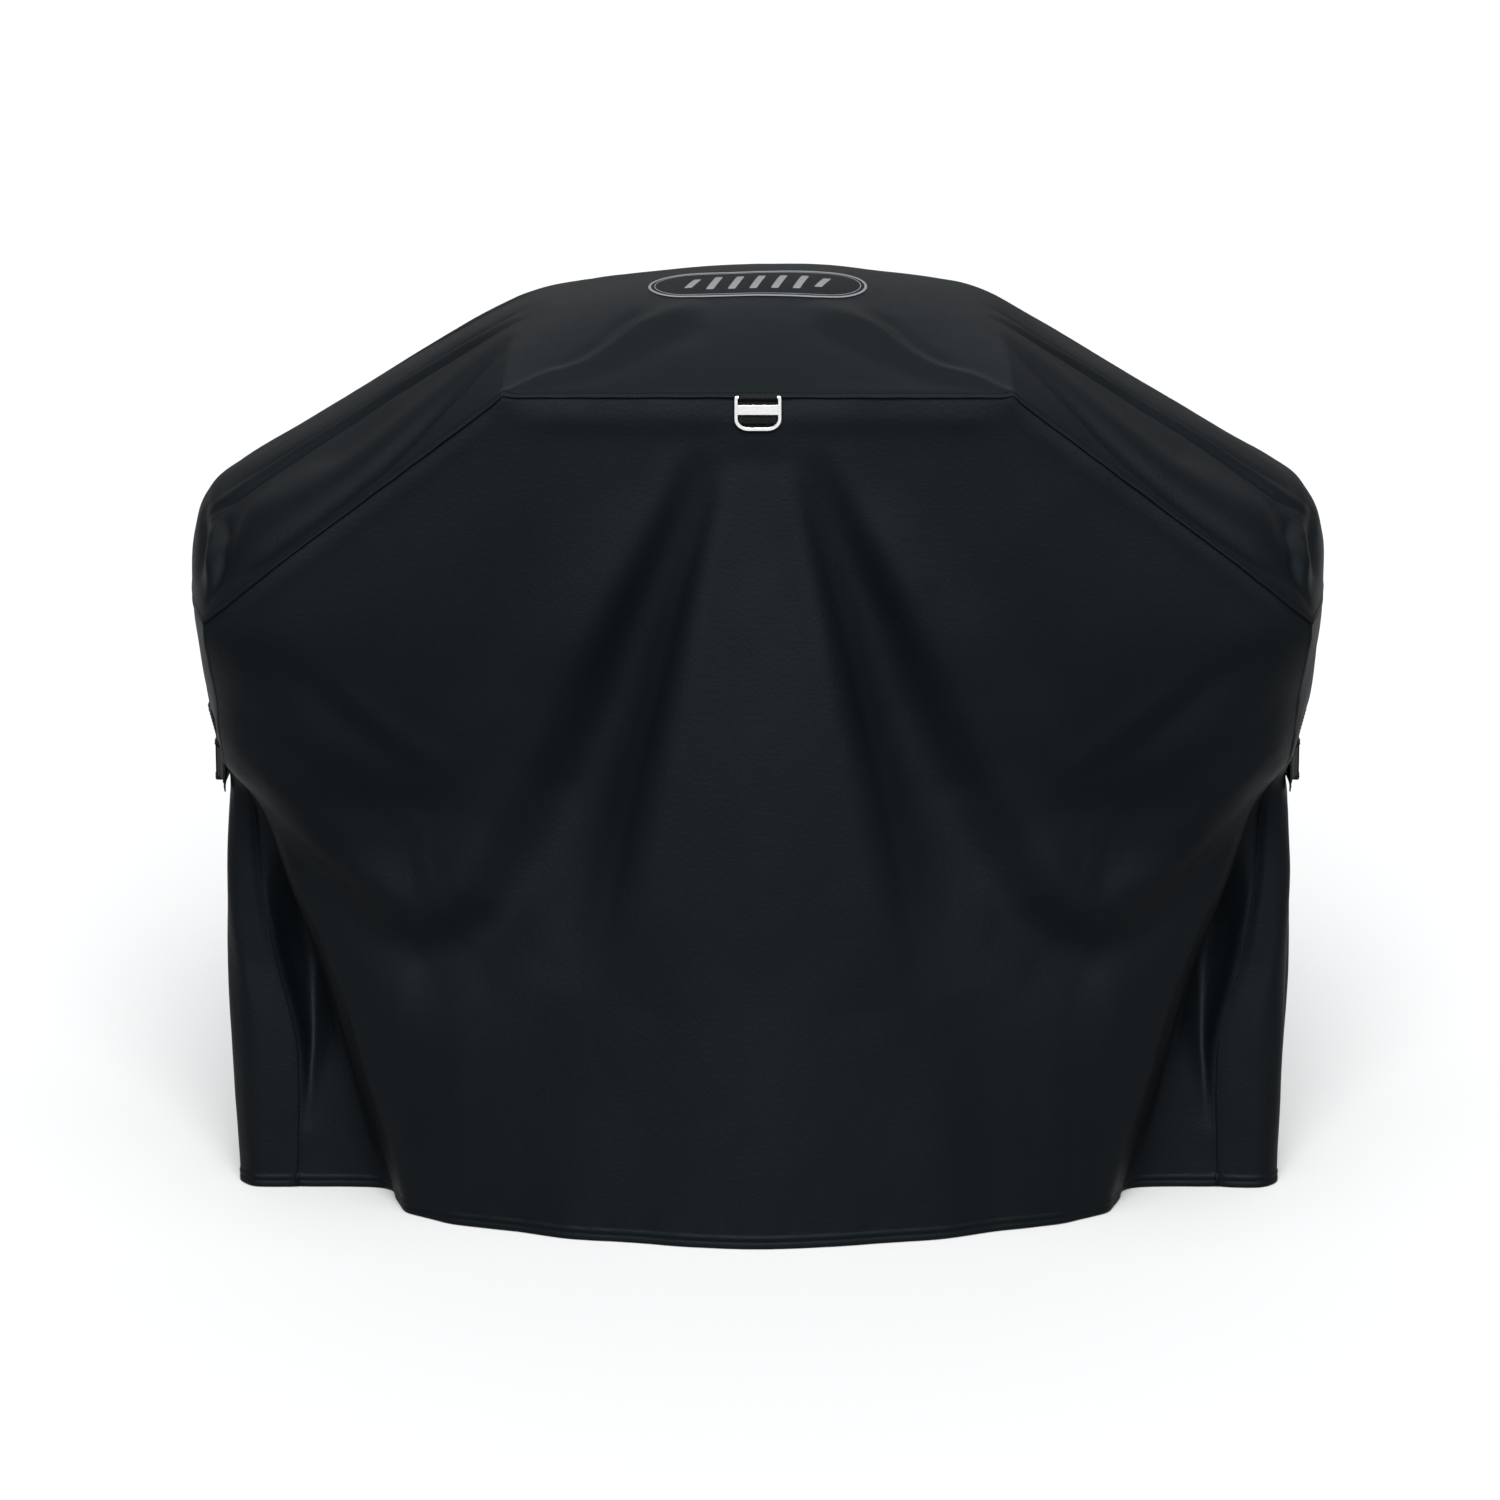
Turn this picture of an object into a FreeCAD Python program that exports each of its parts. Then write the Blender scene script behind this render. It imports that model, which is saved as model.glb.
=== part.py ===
import FreeCAD, Part
import Sketcher
import math
import os

# Fabric cover for a cart grill with side shelves, standing on its hem.
# Millimetres. +X to the right of a person facing the front, -Y the front,
# +Z up. The origin is on the floor under the middle of the cover.
#
# The cover is five cloth panels (front, back, one strip over the crown and
# both shoulders, and two side gussets), a sewn badge patch, a webbing tab
# with a metal ring, and on each side a webbing handle and a two-part strap
# joined by a side-release buckle.

V = FreeCAD.Vector
doc = FreeCAD.newDocument("grill_cover")

# ------------------------------------------------------------ driving sizes
sheet = doc.addObject("Spreadsheet::Sheet", "Sizes")
SIZES = [
    ("crown_height", 956.0, "floor to the top of the crown"),
    ("half_width", 583.0, "middle plane to the shoulder's widest point"),
    ("half_depth", 304.0, "middle plane to the front hem"),
    ("seam_height", 866.0, "floor to the level part of the front seam"),
    ("shoulder_height", 633.0, "floor to the low end of the front seam"),
    ("crown_half", 252.0, "half length of the level part of the front seam"),
    ("panel_half", 565.0, "half the flat width of the front panel"),
    ("seam_depth", 262.0, "middle plane to the front seam"),
    ("cloth_thick", 3.0, "coated cloth with its folds, as a solid"),
    ("seam_gap", 0.5, "clearance between two panels at a seam"),
    ("badge_length", 224.0, "crown patch, along X"),
    ("badge_depth", 84.0, "crown patch, front to back along the cloth"),
    ("badge_thick", 1.6, "crown patch"),
    ("web_width", 32.0, "strap webbing"),
    ("web_thick", 1.6, "strap webbing"),
    ("handle_width", 38.0, "handle webbing"),
    ("handle_thick", 2.2, "handle webbing, doubled and sewn"),
    ("handle_half", 84.0, "half the handle's length"),
    ("tab_width", 38.0, "ring tab webbing"),
    ("tab_layers", 2.8, "ring tab, two layers"),
    ("ring_width", 46.0, "metal ring, outside"),
    ("ring_drop", 34.5, "metal ring, outside, top to bottom"),
    ("ring_bar", 3.0, "thickness of the ring's bar"),
    ("plate_height", 9.6, "ring's cross plate"),
    ("buckle_width", 43.0, "buckle, across the webbing"),
    ("buckle_thick", 12.0, "buckle housing"),
    ("buckle_level", 443.0, "floor to the buckle's middle"),
    ("buckle_base", 555.2, "middle plane to the back of the buckle"),
    ("slot_half", 16.8, "half the length of a webbing slot"),
    ("prong_thick", 4.8, "buckle prong"),
    ("prong_pivot", 15.0, "buckle's middle to the bend line of a prong"),
]
for i, (alias, value, note) in enumerate(SIZES, start=1):
    sheet.set("A%d" % i, alias)
    sheet.set("B%d" % i, repr(value))
    sheet.set("C%d" % i, note)
    sheet.setAlias("B%d" % i, alias)
doc.recompute()


def size(alias):
    return float(sheet.get(alias))


KX = size("half_width") / 583.0
KY = size("half_depth") / 304.0
KZ = size("crown_height") / 956.0
THICK = size("cloth_thick")
GAP = size("seam_gap")

# ----------------------------------------------------- smooth interpolation


def slopes(xs, ys):
    # shape-preserving slopes for a cubic through (xs, ys)
    n = len(xs)
    d = [(ys[i + 1] - ys[i]) / (xs[i + 1] - xs[i]) for i in range(n - 1)]
    m = [0.0] * n
    m[0], m[-1] = d[0], d[-1]
    for i in range(1, n - 1):
        a, b = d[i - 1], d[i]
        ha, hb = xs[i] - xs[i - 1], xs[i + 1] - xs[i]
        mid = (a * hb + b * ha) / (ha + hb)
        if a * b <= 0.0:
            m[i] = 0.35 * mid
        else:
            lim = 3.0 * min(abs(a), abs(b))
            m[i] = max(-lim, min(lim, mid))
    return m


def smooth(xs, ys, x, m=None):
    if m is None:
        m = slopes(xs, ys)
    if x <= xs[0]:
        return ys[0] + m[0] * (x - xs[0])
    if x >= xs[-1]:
        return ys[-1] + m[-1] * (x - xs[-1])
    i = 0
    while x > xs[i + 1]:
        i += 1
    w = xs[i + 1] - xs[i]
    t = (x - xs[i]) / w
    t2, t3 = t * t, t * t * t
    return ((2 * t3 - 3 * t2 + 1) * ys[i] + (t3 - 2 * t2 + t) * w * m[i]
            + (-2 * t3 + 3 * t2) * ys[i + 1] + (t3 - t2) * w * m[i + 1])


# --------------------------------------------------------- the front drape
# Plan curves of the front panel at a few heights, half of it, measured along
# the cloth from the middle. Below the buckle the edge of the front lobe folds
# back into a deep valley and runs out again to the side seam.
ALONG = [0, 70, 140, 210, 280, 340, 390, 430, 470, 510, 540, 565]
DRAPE = [
    (0, [0, 70, 139, 206, 270, 323, 360, 375, 384, 412, 452, 483],
        [304, 300, 289, 271, 246, 218, 190, 151, 116, 105, 104, 104]),
    (140, [0, 70, 139, 206, 271, 327, 373, 403, 420, 428, 450, 480],
          [298, 295, 287, 269, 248, 224, 201, 171, 138, 113, 103, 102]),
    (262, [0, 70, 139, 207, 273, 329, 376, 412, 443, 461, 477, 505],
          [292, 290, 283, 265, 243, 220, 200, 178, 152, 122, 101, 97]),
    (335, [0, 70, 139, 207, 274, 331, 378, 415, 450, 480, 496, 515],
          [289, 286, 278, 260, 236, 213, 197, 183, 165, 137, 112, 97]),
    (430, [0, 70, 139, 208, 277, 336, 386, 425, 462, 495, 513, 523],
          [285, 282, 271, 248, 224, 213, 209, 207, 200, 178, 150, 118]),
    (470, [0, 70, 140, 209, 278, 337, 387, 427, 465, 502, 528, 545],
          [283, 280, 268, 243, 228, 224, 224, 225, 220, 203, 180, 150]),
    (550, [0, 70, 140, 209, 279, 339, 389, 429, 468, 505, 531, 550],
          [279, 275, 261, 246, 243, 244, 245, 245, 241, 228, 210, 190]),
    (633, [0, 70, 140, 210, 280, 340, 390, 430, 470, 507, 533, 555],
          [274, 270, 261, 256, 256, 257, 258, 259, 259, 256, 250, 238]),
    (750, [0, 70, 140, 210, 280, 340, 390, 430, 470, 507, 533, 555],
          [266, 265, 262, 262, 262, 262, 262, 262, 262, 260, 252, 240]),
    (866, [0, 70, 140, 210, 280, 340, 390, 430, 470, 507, 533, 555],
          [262, 262, 262, 262, 262, 262, 262, 262, 262, 260, 252, 240]),
]
LEVELS = [row[0] for row in DRAPE]


def drape_point(along, level):
    # half front panel: distance along the cloth, height -> (x, -y)
    xs = [smooth(ALONG, row[1], along) for row in DRAPE]
    ys = [smooth(ALONG, row[2], along) for row in DRAPE]
    return smooth(LEVELS, xs, level), smooth(LEVELS, ys, level)


def seam_level(along):
    # height of the front seam over a point of the front panel's width
    top, low = 866.0, 633.0
    half, full = size("crown_half"), size("panel_half")
    if along <= half:
        return top
    return top + (low - top) * (along - half) / (full - half)


# side gusset: half of it, from the front seam to the middle of the side
GUSSET_Q = [0.0, 0.25, 0.5, 0.75, 1.0]
GUSSET = [
    (0, [483, 518, 537, 544, 545], [104, 105, 93, 47, 0]),
    (140, [480, 518, 541, 550, 552], [102, 104, 90, 45, 0]),
    (262, [505, 536, 549, 554, 556], [97, 96, 73, 37, 0]),
    (335, [515, 541, 550, 554, 555], [97, 91, 70, 35, 0]),
    (430, [523, 541, 548, 551, 552], [118, 106, 75, 38, 0]),
    (470, [545, 550, 553, 554, 554.5], [150, 115, 76, 38, 0]),
    (550, [550, 561, 569, 573, 574], [190, 150, 100, 50, 0]),
    (633, [555, 568, 577, 582, 583], [238, 190, 125, 60, 0]),
]
GUSSET_Z = [row[0] for row in GUSSET]


def gusset_point(q, level):
    # q from -1 at the front seam to +1 at the rear seam -> (x, y)
    a = 1.0 - abs(q)
    xs = [smooth(GUSSET_Q, row[1], a) for row in GUSSET]
    ys = [smooth(GUSSET_Q, row[2], a) for row in GUSSET]
    y = smooth(GUSSET_Z, ys, level)
    return smooth(GUSSET_Z, xs, level), (-y if q < 0 else y)


# top strip: the ridge line over the front seam, station by station
STATION = [0, 60, 120, 185, 252, 300, 365, 430, 485, 522, 545, 557, 565]
RIDGE_X = [0, 60, 121, 185, 246, 318, 400, 482, 540, 567, 579, 583, 583]
RIDGE_Z = [956, 954.5, 948, 938, 920, 880, 832, 785, 751, 729, 702, 671, 633]


def strip_point(along, w):
    # along the strip from the middle, w from -1 (front) to +1 (rear)
    fx, fy = drape_point(along, seam_level(along))
    fz = seam_level(along)
    rx = smooth(STATION, RIDGE_X, along)
    rz = smooth(STATION, RIDGE_Z, along)
    aw = abs(w)
    soft = math.sqrt(aw * aw + 0.0144) - 0.12 * (1 - aw)
    rise = 1.0 - soft ** 1.7 if soft < 1 else 0.0
    bow = 1.0 - aw ** 2.2
    return (fx + (rx - fx) * bow, fy * w, fz + (rz - fz) * rise)


def world(x, y, z):
    return V(x * KX, y * KY, z * KZ)


# ------------------------------------------------------------ cloth solids


def normals(grid):
    rows, cols = len(grid), len(grid[0])
    out = []
    for i in range(rows):
        line = []
        for j in range(cols):
            a = grid[min(i + 1, rows - 1)][j] - grid[max(i - 1, 0)][j]
            b = grid[i][min(j + 1, cols - 1)] - grid[i][max(j - 1, 0)]
            n = a.cross(b)
            n.normalize()
            line.append(n)
        out.append(line)
    return out


def cloth_solid(grid, thick, inside, hem=False, miter=0.0, level_ends=False):
    # a closed solid between a surface through the grid and one set back from
    # it by the cloth's thickness, on the side of the point "inside"
    ns = normals(grid)
    rows, cols = len(grid), len(grid[0])
    mid = grid[rows // 2][cols // 2]
    sign = 1.0 if ns[rows // 2][cols // 2].dot(inside - mid) > 0 else -1.0
    inner = [[grid[i][j] + ns[i][j] * (sign * thick) for j in range(cols)]
             for i in range(rows)]
    if miter:
        # the two upright edges are cut back on the inside, clear of the next panel
        for i, k in ((0, 1), (rows - 1, rows - 2)):
            for j in range(cols):
                t = grid[k][j] - grid[i][j]
                t.normalize()
                inner[i][j] = inner[i][j] + t * miter
    if hem:
        # the hem's edge is cut level with the floor, and the top edge level
        for i in range(rows):
            inner[i][0] = V(inner[i][0].x, inner[i][0].y, grid[i][0].z)
            if inner[i][-1].z > grid[i][-1].z:
                inner[i][-1] = V(inner[i][-1].x, inner[i][-1].y, grid[i][-1].z)
    if level_ends:
        for i in (0, rows - 1):
            for j in range(cols):
                inner[i][j] = V(inner[i][j].x, inner[i][j].y, grid[i][j].z + 0.2)
    surfs = []
    for pts in (grid, inner):
        s = Part.BSplineSurface()
        s.interpolate(pts)
        surfs.append(s)
    faces = [s.toShape() for s in surfs]
    rims = []
    u0, u1, v0, v1 = surfs[0].bounds()
    a0, a1, b0, b1 = surfs[1].bounds()
    pairs = [(surfs[0].uIso(u0), surfs[1].uIso(a0)),
             (surfs[0].uIso(u1), surfs[1].uIso(a1)),
             (surfs[0].vIso(v0), surfs[1].vIso(b0)),
             (surfs[0].vIso(v1), surfs[1].vIso(b1))]
    for n, (c, d) in enumerate(pairs):
        if hem and n == 2:
            # the underside of the hem is one flat face
            ce, de = c.toShape(), d.toShape()
            c0, c1 = c.value(c.FirstParameter), c.value(c.LastParameter)
            d0, d1 = d.value(d.FirstParameter), d.value(d.LastParameter)
            wire = Part.Wire(Part.__sortEdges__([ce, Part.makeLine(c1, d1), de, Part.makeLine(d0, c0)]))
            rims.append(Part.Face(Part.Plane(V(0, 0, 0), V(0, 0, 1)), wire))
        else:
            rims.append(Part.makeRuledSurface(c.toShape(), d.toShape()))
    shell = Part.makeShell(faces + rims)
    shell.sewShape()
    solid = Part.makeSolid(shell if shell.ShapeType == "Shell" else shell.Shells[0])
    if solid.Volume < 0:
        solid.reverse()
    return solid


def feature(label, shape):
    obj = doc.addObject("Part::Feature", label)
    obj.Label = label
    obj.Shape = shape
    obj.Placement = FreeCAD.Placement()
    return obj


INSIDE = V(0, 0, 450)
parts = {}


def panel_grid(side):
    # side -1: front panel, +1: back panel. The top edge is tucked under the
    # strip, so it stops short of the seam line by the strip's thickness.
    full = size("panel_half") - 2.0 * GAP
    level = size("crown_half")
    half = ([level * i / 12.0 for i in range(12)]
            + [level + (full - level) * i / 15.0 for i in range(16)])
    columns = [-a for a in reversed(half) if a > 0] + half
    grid = []
    for a in columns:
        aa = abs(a)
        tuck = THICK + 1.3 if aa <= 240 else THICK + 2.9
        top = seam_level(aa) - tuck
        if aa > 470:
            top = seam_level(aa) - tuck - (aa - 470) / 95.0 * 0.8
        line = []
        for k in range(15):
            lvl = top * k / 14.0
            x, y = drape_point(aa, lvl)
            line.append(world(math.copysign(x, a) if a else 0.0, side * y, lvl))
        grid.append(line)
    return grid


parts["front_panel"] = feature("front_panel", cloth_solid(panel_grid(-1), THICK, INSIDE, True, 2.2))
parts["back_panel"] = feature("back_panel", cloth_solid(panel_grid(1), THICK, INSIDE, True, 2.2))

# strip over the crown and both shoulders
full = size("panel_half")

# columns evenly spaced along the ridge
walk = [(0.0, 0.0)]
px, pz = RIDGE_X[0], RIDGE_Z[0]
for k in range(1, 566):
    qx, qz = smooth(STATION, RIDGE_X, k), smooth(STATION, RIDGE_Z, k)
    walk.append((float(k), walk[-1][1] + math.hypot(qx - px, qz - pz)))
    px, pz = qx, qz
half = []
for i in range(25):
    want = walk[-1][1] * i / 24.0
    k = 1
    while k < 565 and walk[k][1] < want:
        k += 1
    a0, a1 = walk[k - 1], walk[k]
    half.append(a0[0] + (a1[0] - a0[0]) * (want - a0[1]) / max(a1[1] - a0[1], 1e-9))
half[0], half[-1] = 0.0, full - 0.1
columns = [-a for a in reversed(half) if a > 0] + half
cross = [-1.0, -0.93, -0.8, -0.62, -0.42, -0.22, 0.0, 0.22, 0.42, 0.62, 0.8, 0.93, 1.0]
grid = []
for a in columns:
    line = []
    for w in cross:
        x, y, z = strip_point(abs(a), w)
        line.append(world(math.copysign(x, a) if a else 0.0, y, z))
    grid.append(line)
parts["top_panel"] = feature("top_panel", cloth_solid(grid, THICK, INSIDE, False, 0.0, True))

# side gussets
for name, s in (("left_side_panel", -1), ("right_side_panel", 1)):
    grid = []
    for q in (-0.99, -0.95, -0.88, -0.78, -0.66, -0.5, -0.34, -0.17, 0.0,
              0.17, 0.34, 0.5, 0.66, 0.78, 0.88, 0.95, 0.99):
        line = []
        top = 633.0 - 2 * GAP
        for k in range(14):
            lvl = top * k / 13.0
            x, y = gusset_point(q, lvl)
            line.append(world(s * x, y, lvl))
        grid.append(line)
    parts[name] = feature(name, cloth_solid(grid, THICK, V(s * 300, 0, 300), True, 2.6))

# badge patch sewn on the crown's front slope
half_len = size("badge_length") / 2.0
gridb = []
w_front = -0.40
w_rear = w_front + size("badge_depth") / (262.0 * 1.03)
for i in range(17):
    a = -half_len + 2 * half_len * i / 16.0
    line = []
    for j in range(7):
        w = w_front + (w_rear - w_front) * j / 6.0
        x, y, z = strip_point(abs(a), w)
        line.append(world(math.copysign(x, a), y, z))
    gridb.append(line)
nsb = normals(gridb)
up = 1.0 if nsb[8][3].z > 0 else -1.0
lift = size("badge_thick") + 0.35
gridb = [[gridb[i][j] + nsb[i][j] * (up * lift) for j in range(7)] for i in range(17)]
parts["crown_badge"] = feature("crown_badge", cloth_solid(gridb, size("badge_thick"), INSIDE))

# ------------------------------------------------------------- sketch tools


def plane(body, role):
    for f in body.Origin.OriginFeatures:
        if f.Role == role:
            return f
    raise RuntimeError("no plane " + role)


def new_body(label):
    body = doc.addObject("PartDesign::Body", label)
    body.Label = label
    return body


def new_sketch(body, role, name, offset=0.0):
    sk = body.newObject("Sketcher::SketchObject", name)
    sk.AttachmentSupport = [(plane(body, role), "")]
    sk.MapMode = "FlatFace"
    sk.AttachmentOffset = FreeCAD.Placement(V(0, 0, offset), FreeCAD.Rotation())
    return sk


def polygon(sk, pts):
    n = len(pts)
    first = sk.GeometryCount
    for i in range(n):
        a, b = pts[i], pts[(i + 1) % n]
        sk.addGeometry(Part.LineSegment(V(a[0], a[1], 0), V(b[0], b[1], 0)), False)
    for i in range(n):
        sk.addConstraint(Sketcher.Constraint("Coincident", first + i, 2, first + (i + 1) % n, 1))


def rect(sk, x0, y0, x1, y1):
    polygon(sk, [(x0, y0), (x1, y0), (x1, y1), (x0, y1)])


def ribbon(path, thick):
    # closed outline of a band of one thickness that follows a plan path
    left, right = [], []
    n = len(path)
    for i in range(n):
        x0, y0 = path[max(i - 1, 0)]
        x1, y1 = path[min(i + 1, n - 1)]
        dx, dy = x1 - x0, y1 - y0
        d = math.hypot(dx, dy)
        nx, ny = -dy / d, dx / d
        left.append((path[i][0] + nx * thick / 2, path[i][1] + ny * thick / 2))
        right.append((path[i][0] - nx * thick / 2, path[i][1] - ny * thick / 2))
    return left + right[::-1]


def pad(body, sk, length, name, symmetric=False, reverse=False):
    p = body.newObject("PartDesign::Pad", name)
    p.Profile = sk
    if isinstance(length, str):
        p.setExpression("Length", length)
    else:
        p.Length = length
    p.Midplane = symmetric
    p.Reversed = reverse
    doc.recompute()
    return p


def pocket(body, sk, length, name, through=False, symmetric=False, reverse=False):
    before = body.Shape.Volume
    p = body.newObject("PartDesign::Pocket", name)
    p.Profile = sk
    if through:
        p.Type = 1
    else:
        if isinstance(length, str):
            p.setExpression("Length", length)
        else:
            p.Length = length
    p.Midplane = symmetric
    p.Reversed = reverse
    doc.recompute()
    if not (p.Shape.Volume < before - 0.5):
        raise RuntimeError("%s %s removed nothing" % (body.Label, name))
    return p


def round_edges(body, picks, radius, name):
    base = body.Tip
    names = []
    for i, e in enumerate(base.Shape.Edges, start=1):
        if picks(e):
            names.append("Edge%d" % i)
    f = body.newObject("PartDesign::Fillet", name)
    f.Base = (base, names)
    f.Radius = radius
    doc.recompute()
    return f


# ---------------------------------------------------------- ring and its tab
# The tab is a band of webbing folded round the ring's top bar and sewn flat
# on the front panel below the seam. The ring hangs in front of it.
ring_y = -268.5 * KY
ring_z = size("seam_height") - 1.0
bar = size("ring_bar")
tab = new_body("ring_tab")
sk = new_sketch(tab, "YZ_Plane", "ring_tab_profile")
loop_out, loop_in = 3.15, bar / 2 + 0.25
layers = size("tab_layers")
loop_back = 4.7
back = ring_y + loop_back                 # face of the tab against the panel
front_face = back - layers
drop = ring_z - 27.0
pts = [(back, drop), (back, ring_z - 1.0)]
for k in range(0, 16):
    ang = math.radians(0 + 180.0 * k / 16.0)
    reach = loop_back if ang < math.pi / 2 else loop_out
    pts.append((ring_y + reach * math.cos(ang), ring_z + loop_out * math.sin(ang)))
pts.append((ring_y - loop_out, ring_z))
for k in range(1, 8):
    ang = math.radians(180.0 + 98.0 * k / 7.0)
    pts.append((ring_y + loop_out * math.cos(ang), ring_z + loop_out * math.sin(ang)))
pts.append((front_face, ring_z - loop_out - 1.4))
pts.append((front_face, drop))
polygon(sk, pts)
sk.addGeometry(Part.Circle(V(ring_y, ring_z, 0), V(0, 0, 1), loop_in), False)
pad(tab, sk, "Sizes.tab_width", "ring_tab_pad", symmetric=True)
parts["ring_tab"] = tab

ring = new_body("front_ring")
hw = size("ring_width") / 2.0
top = bar / 2.0
low = top - size("ring_drop")
plate_top = -7.6
plate_low = plate_top - size("plate_height")


def ring_outline(off):
    # square shoulders at the top, round at the bottom, set in by "off"
    w = hw - off
    t, b = top - off, low + off
    pts = []
    r = max(2.6 - off, 0.5)
    for k in range(0, 5):
        a = math.radians(90.0 - 90.0 * k / 4)
        pts.append((w - r + r * math.cos(a), t - r + r * math.sin(a)))
    rb = 14.0 - off
    for k in range(0, 9):
        a = math.radians(0.0 - 90.0 * k / 8)
        pts.append((w - rb + rb * math.cos(a), b + rb * 0.82 + rb * 0.82 * math.sin(a)))
    return pts + [(-x, y) for x, y in reversed(pts)]


sk = new_sketch(ring, "XZ_Plane", "front_ring_outline")
polygon(sk, ring_outline(0.0))
upper = [(-(hw - bar), plate_top), (hw - bar, plate_top), (hw - bar, top - bar), (-(hw - bar), top - bar)]
polygon(sk, upper)
inner = [p for p in ring_outline(bar) if p[1] < plate_low]
inner = [(hw - bar, plate_low)] + [p for p in inner if p[0] > 0] + [p for p in inner if p[0] < 0] + [(-(hw - bar), plate_low)]
polygon(sk, inner)
pad(ring, sk, "Sizes.ring_bar", "front_ring_pad", symmetric=True)


def ring_edges(e):
    # the long edges of the bar, front and back
    b = e.BoundBox
    if b.YLength > 0.01 or abs(abs(b.Center.y) - bar / 2) > 0.01:
        return False
    # outer outline only: the plate keeps its square edges
    return e.Length > 3.0 and (abs(b.Center.z - top) < 0.01 or abs(b.Center.z - (top - bar)) < 0.01)


round_edges(ring, ring_edges, 1.15, "front_ring_round")
# the plate is thinner than the bar, set back from its front and its rear
sk = new_sketch(ring, "XZ_Plane", "front_ring_plate_front", bar / 2.0)
rect(sk, -(hw - bar) + 0.2, plate_low, hw - bar - 0.2, plate_top)
pocket(ring, sk, 0.6, "front_ring_thin_front")
sk = new_sketch(ring, "XZ_Plane", "front_ring_plate_rear", -bar / 2.0)
rect(sk, -(hw - bar) + 0.2, plate_low, hw - bar - 0.2, plate_top)
pocket(ring, sk, 0.8, "front_ring_thin_rear", reverse=True)
ring.Placement = FreeCAD.Placement(V(0, ring_y, ring_z), FreeCAD.Rotation())
parts["front_ring"] = ring

# ------------------------------------------------------------------ buckles
# Local frame of a buckle: x along the strap from the fixed half to the
# adjustable half, y across the webbing, z away from the cloth.
WID = size("buckle_width") / 2.0
BT = size("buckle_thick")
SLOT = size("slot_half")
BASE = size("buckle_base")
LEVEL = size("buckle_level")


def side_placement(s):
    # right side: x->+Y, y->+Z, z->+X; left side: x->+Y, y->-Z, z->-X
    m = FreeCAD.Matrix()
    if s > 0:
        m.A11, m.A12, m.A13 = 0, 0, 1
        m.A21, m.A22, m.A23 = 1, 0, 0
        m.A31, m.A32, m.A33 = 0, 1, 0
    else:
        m.A11, m.A12, m.A13 = 0, 0, -1
        m.A21, m.A22, m.A23 = 1, 0, 0
        m.A31, m.A32, m.A33 = 0, -1, 0
    p = FreeCAD.Placement(m)
    p.Base = V(s * BASE, 0, LEVEL)
    return p


def female_half(label):
    b = new_body(label)
    sk = new_sketch(b, "XY_Plane", label + "_outline")
    polygon(sk, [(-31, -WID + 3), (-28, -WID), (5, -WID), (5, WID), (-28, WID), (-31, WID - 3)])
    pad(b, sk, "Sizes.buckle_thick", label + "_block")

    def outer(e):
        bb = e.BoundBox
        return bb.ZLength < 0.01 and abs(bb.Center.z - BT) < 0.01
    round_edges(b, outer, 2.0, label + "_round")
    sk = new_sketch(b, "XY_Plane", label + "_ribs", BT - 0.6)
    rect(sk, -16, WID - 5.0, 3.5, WID - 2.6)
    rect(sk, -16, -WID + 2.6, 3.5, -WID + 5.0)
    pad(b, sk, 1.8, label + "_lips")
    # cavity open at the mouth
    sk = new_sketch(b, "YZ_Plane", label + "_mouth", 5.0)
    rect(sk, -(WID - 3.0), 2.5, WID - 3.0, 9.5)
    pocket(b, sk, 24.0, label + "_cavity")
    # side windows for the prongs
    sk = new_sketch(b, "XZ_Plane", label + "_window")
    rect(sk, -15.0, 3.0, -5.0, 9.0)
    pocket(b, sk, 60.0, label + "_windows", symmetric=True)
    # slot behind the webbing bar, and the bar thinned above and below
    sk = new_sketch(b, "XY_Plane", label + "_slot")
    rect(sk, -27.8, -SLOT, -22.0, SLOT)
    pocket(b, sk, 60.0, label + "_slot_cut", symmetric=True)
    sk = new_sketch(b, "XY_Plane", label + "_bar_top", 7.2)
    rect(sk, -33.0, -SLOT, -26.0, SLOT)
    pocket(b, sk, 10.0, label + "_bar_upper", reverse=True)
    sk = new_sketch(b, "XY_Plane", label + "_bar_low", 3.3)
    rect(sk, -33.0, -SLOT, -20.5, SLOT)
    pocket(b, sk, 5.0, label + "_bar_lower")
    return b


def male_half(label):
    b = new_body(label)
    sk = new_sketch(b, "XY_Plane", label + "_outline")
    polygon(sk, [(5.6, -WID), (25.5, -WID), (28, -WID + 2.5), (28, WID - 2.5), (25.5, WID), (5.6, WID)])
    pad(b, sk, 11.0, label + "_block")

    def outer(e):
        bb = e.BoundBox
        return bb.ZLength < 0.01 and abs(bb.Center.z - 11.0) < 0.01
    round_edges(b, outer, 2.0, label + "_round")
    # guide tongue into the housing
    sk = new_sketch(b, "XY_Plane", label + "_tongue", 4.0)
    polygon(sk, [(7.0, -5.0), (7.0, 5.0), (-15.0, 5.0), (-17.0, 3.4), (-17.0, -3.4), (-15.0, -5.0)])
    pad(b, sk, 4.0, label + "_guide")
    sk = new_sketch(b, "XY_Plane", label + "_slots")
    rect(sk, 10.0, -SLOT, 14.8, SLOT)
    rect(sk, 18.5, -SLOT, 24.0, SLOT)
    pocket(b, sk, 60.0, label + "_slot_cut", symmetric=True)
    sk = new_sketch(b, "XY_Plane", label + "_bars_top", 7.2)
    rect(sk, 9.0, -SLOT, 30.0, SLOT)
    pocket(b, sk, 10.0, label + "_bars_upper", reverse=True)
    sk = new_sketch(b, "XY_Plane", label + "_bars_low", 3.3)
    rect(sk, 9.0, -SLOT, 30.0, SLOT)
    pocket(b, sk, 5.0, label + "_bars_lower")
    return b


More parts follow.
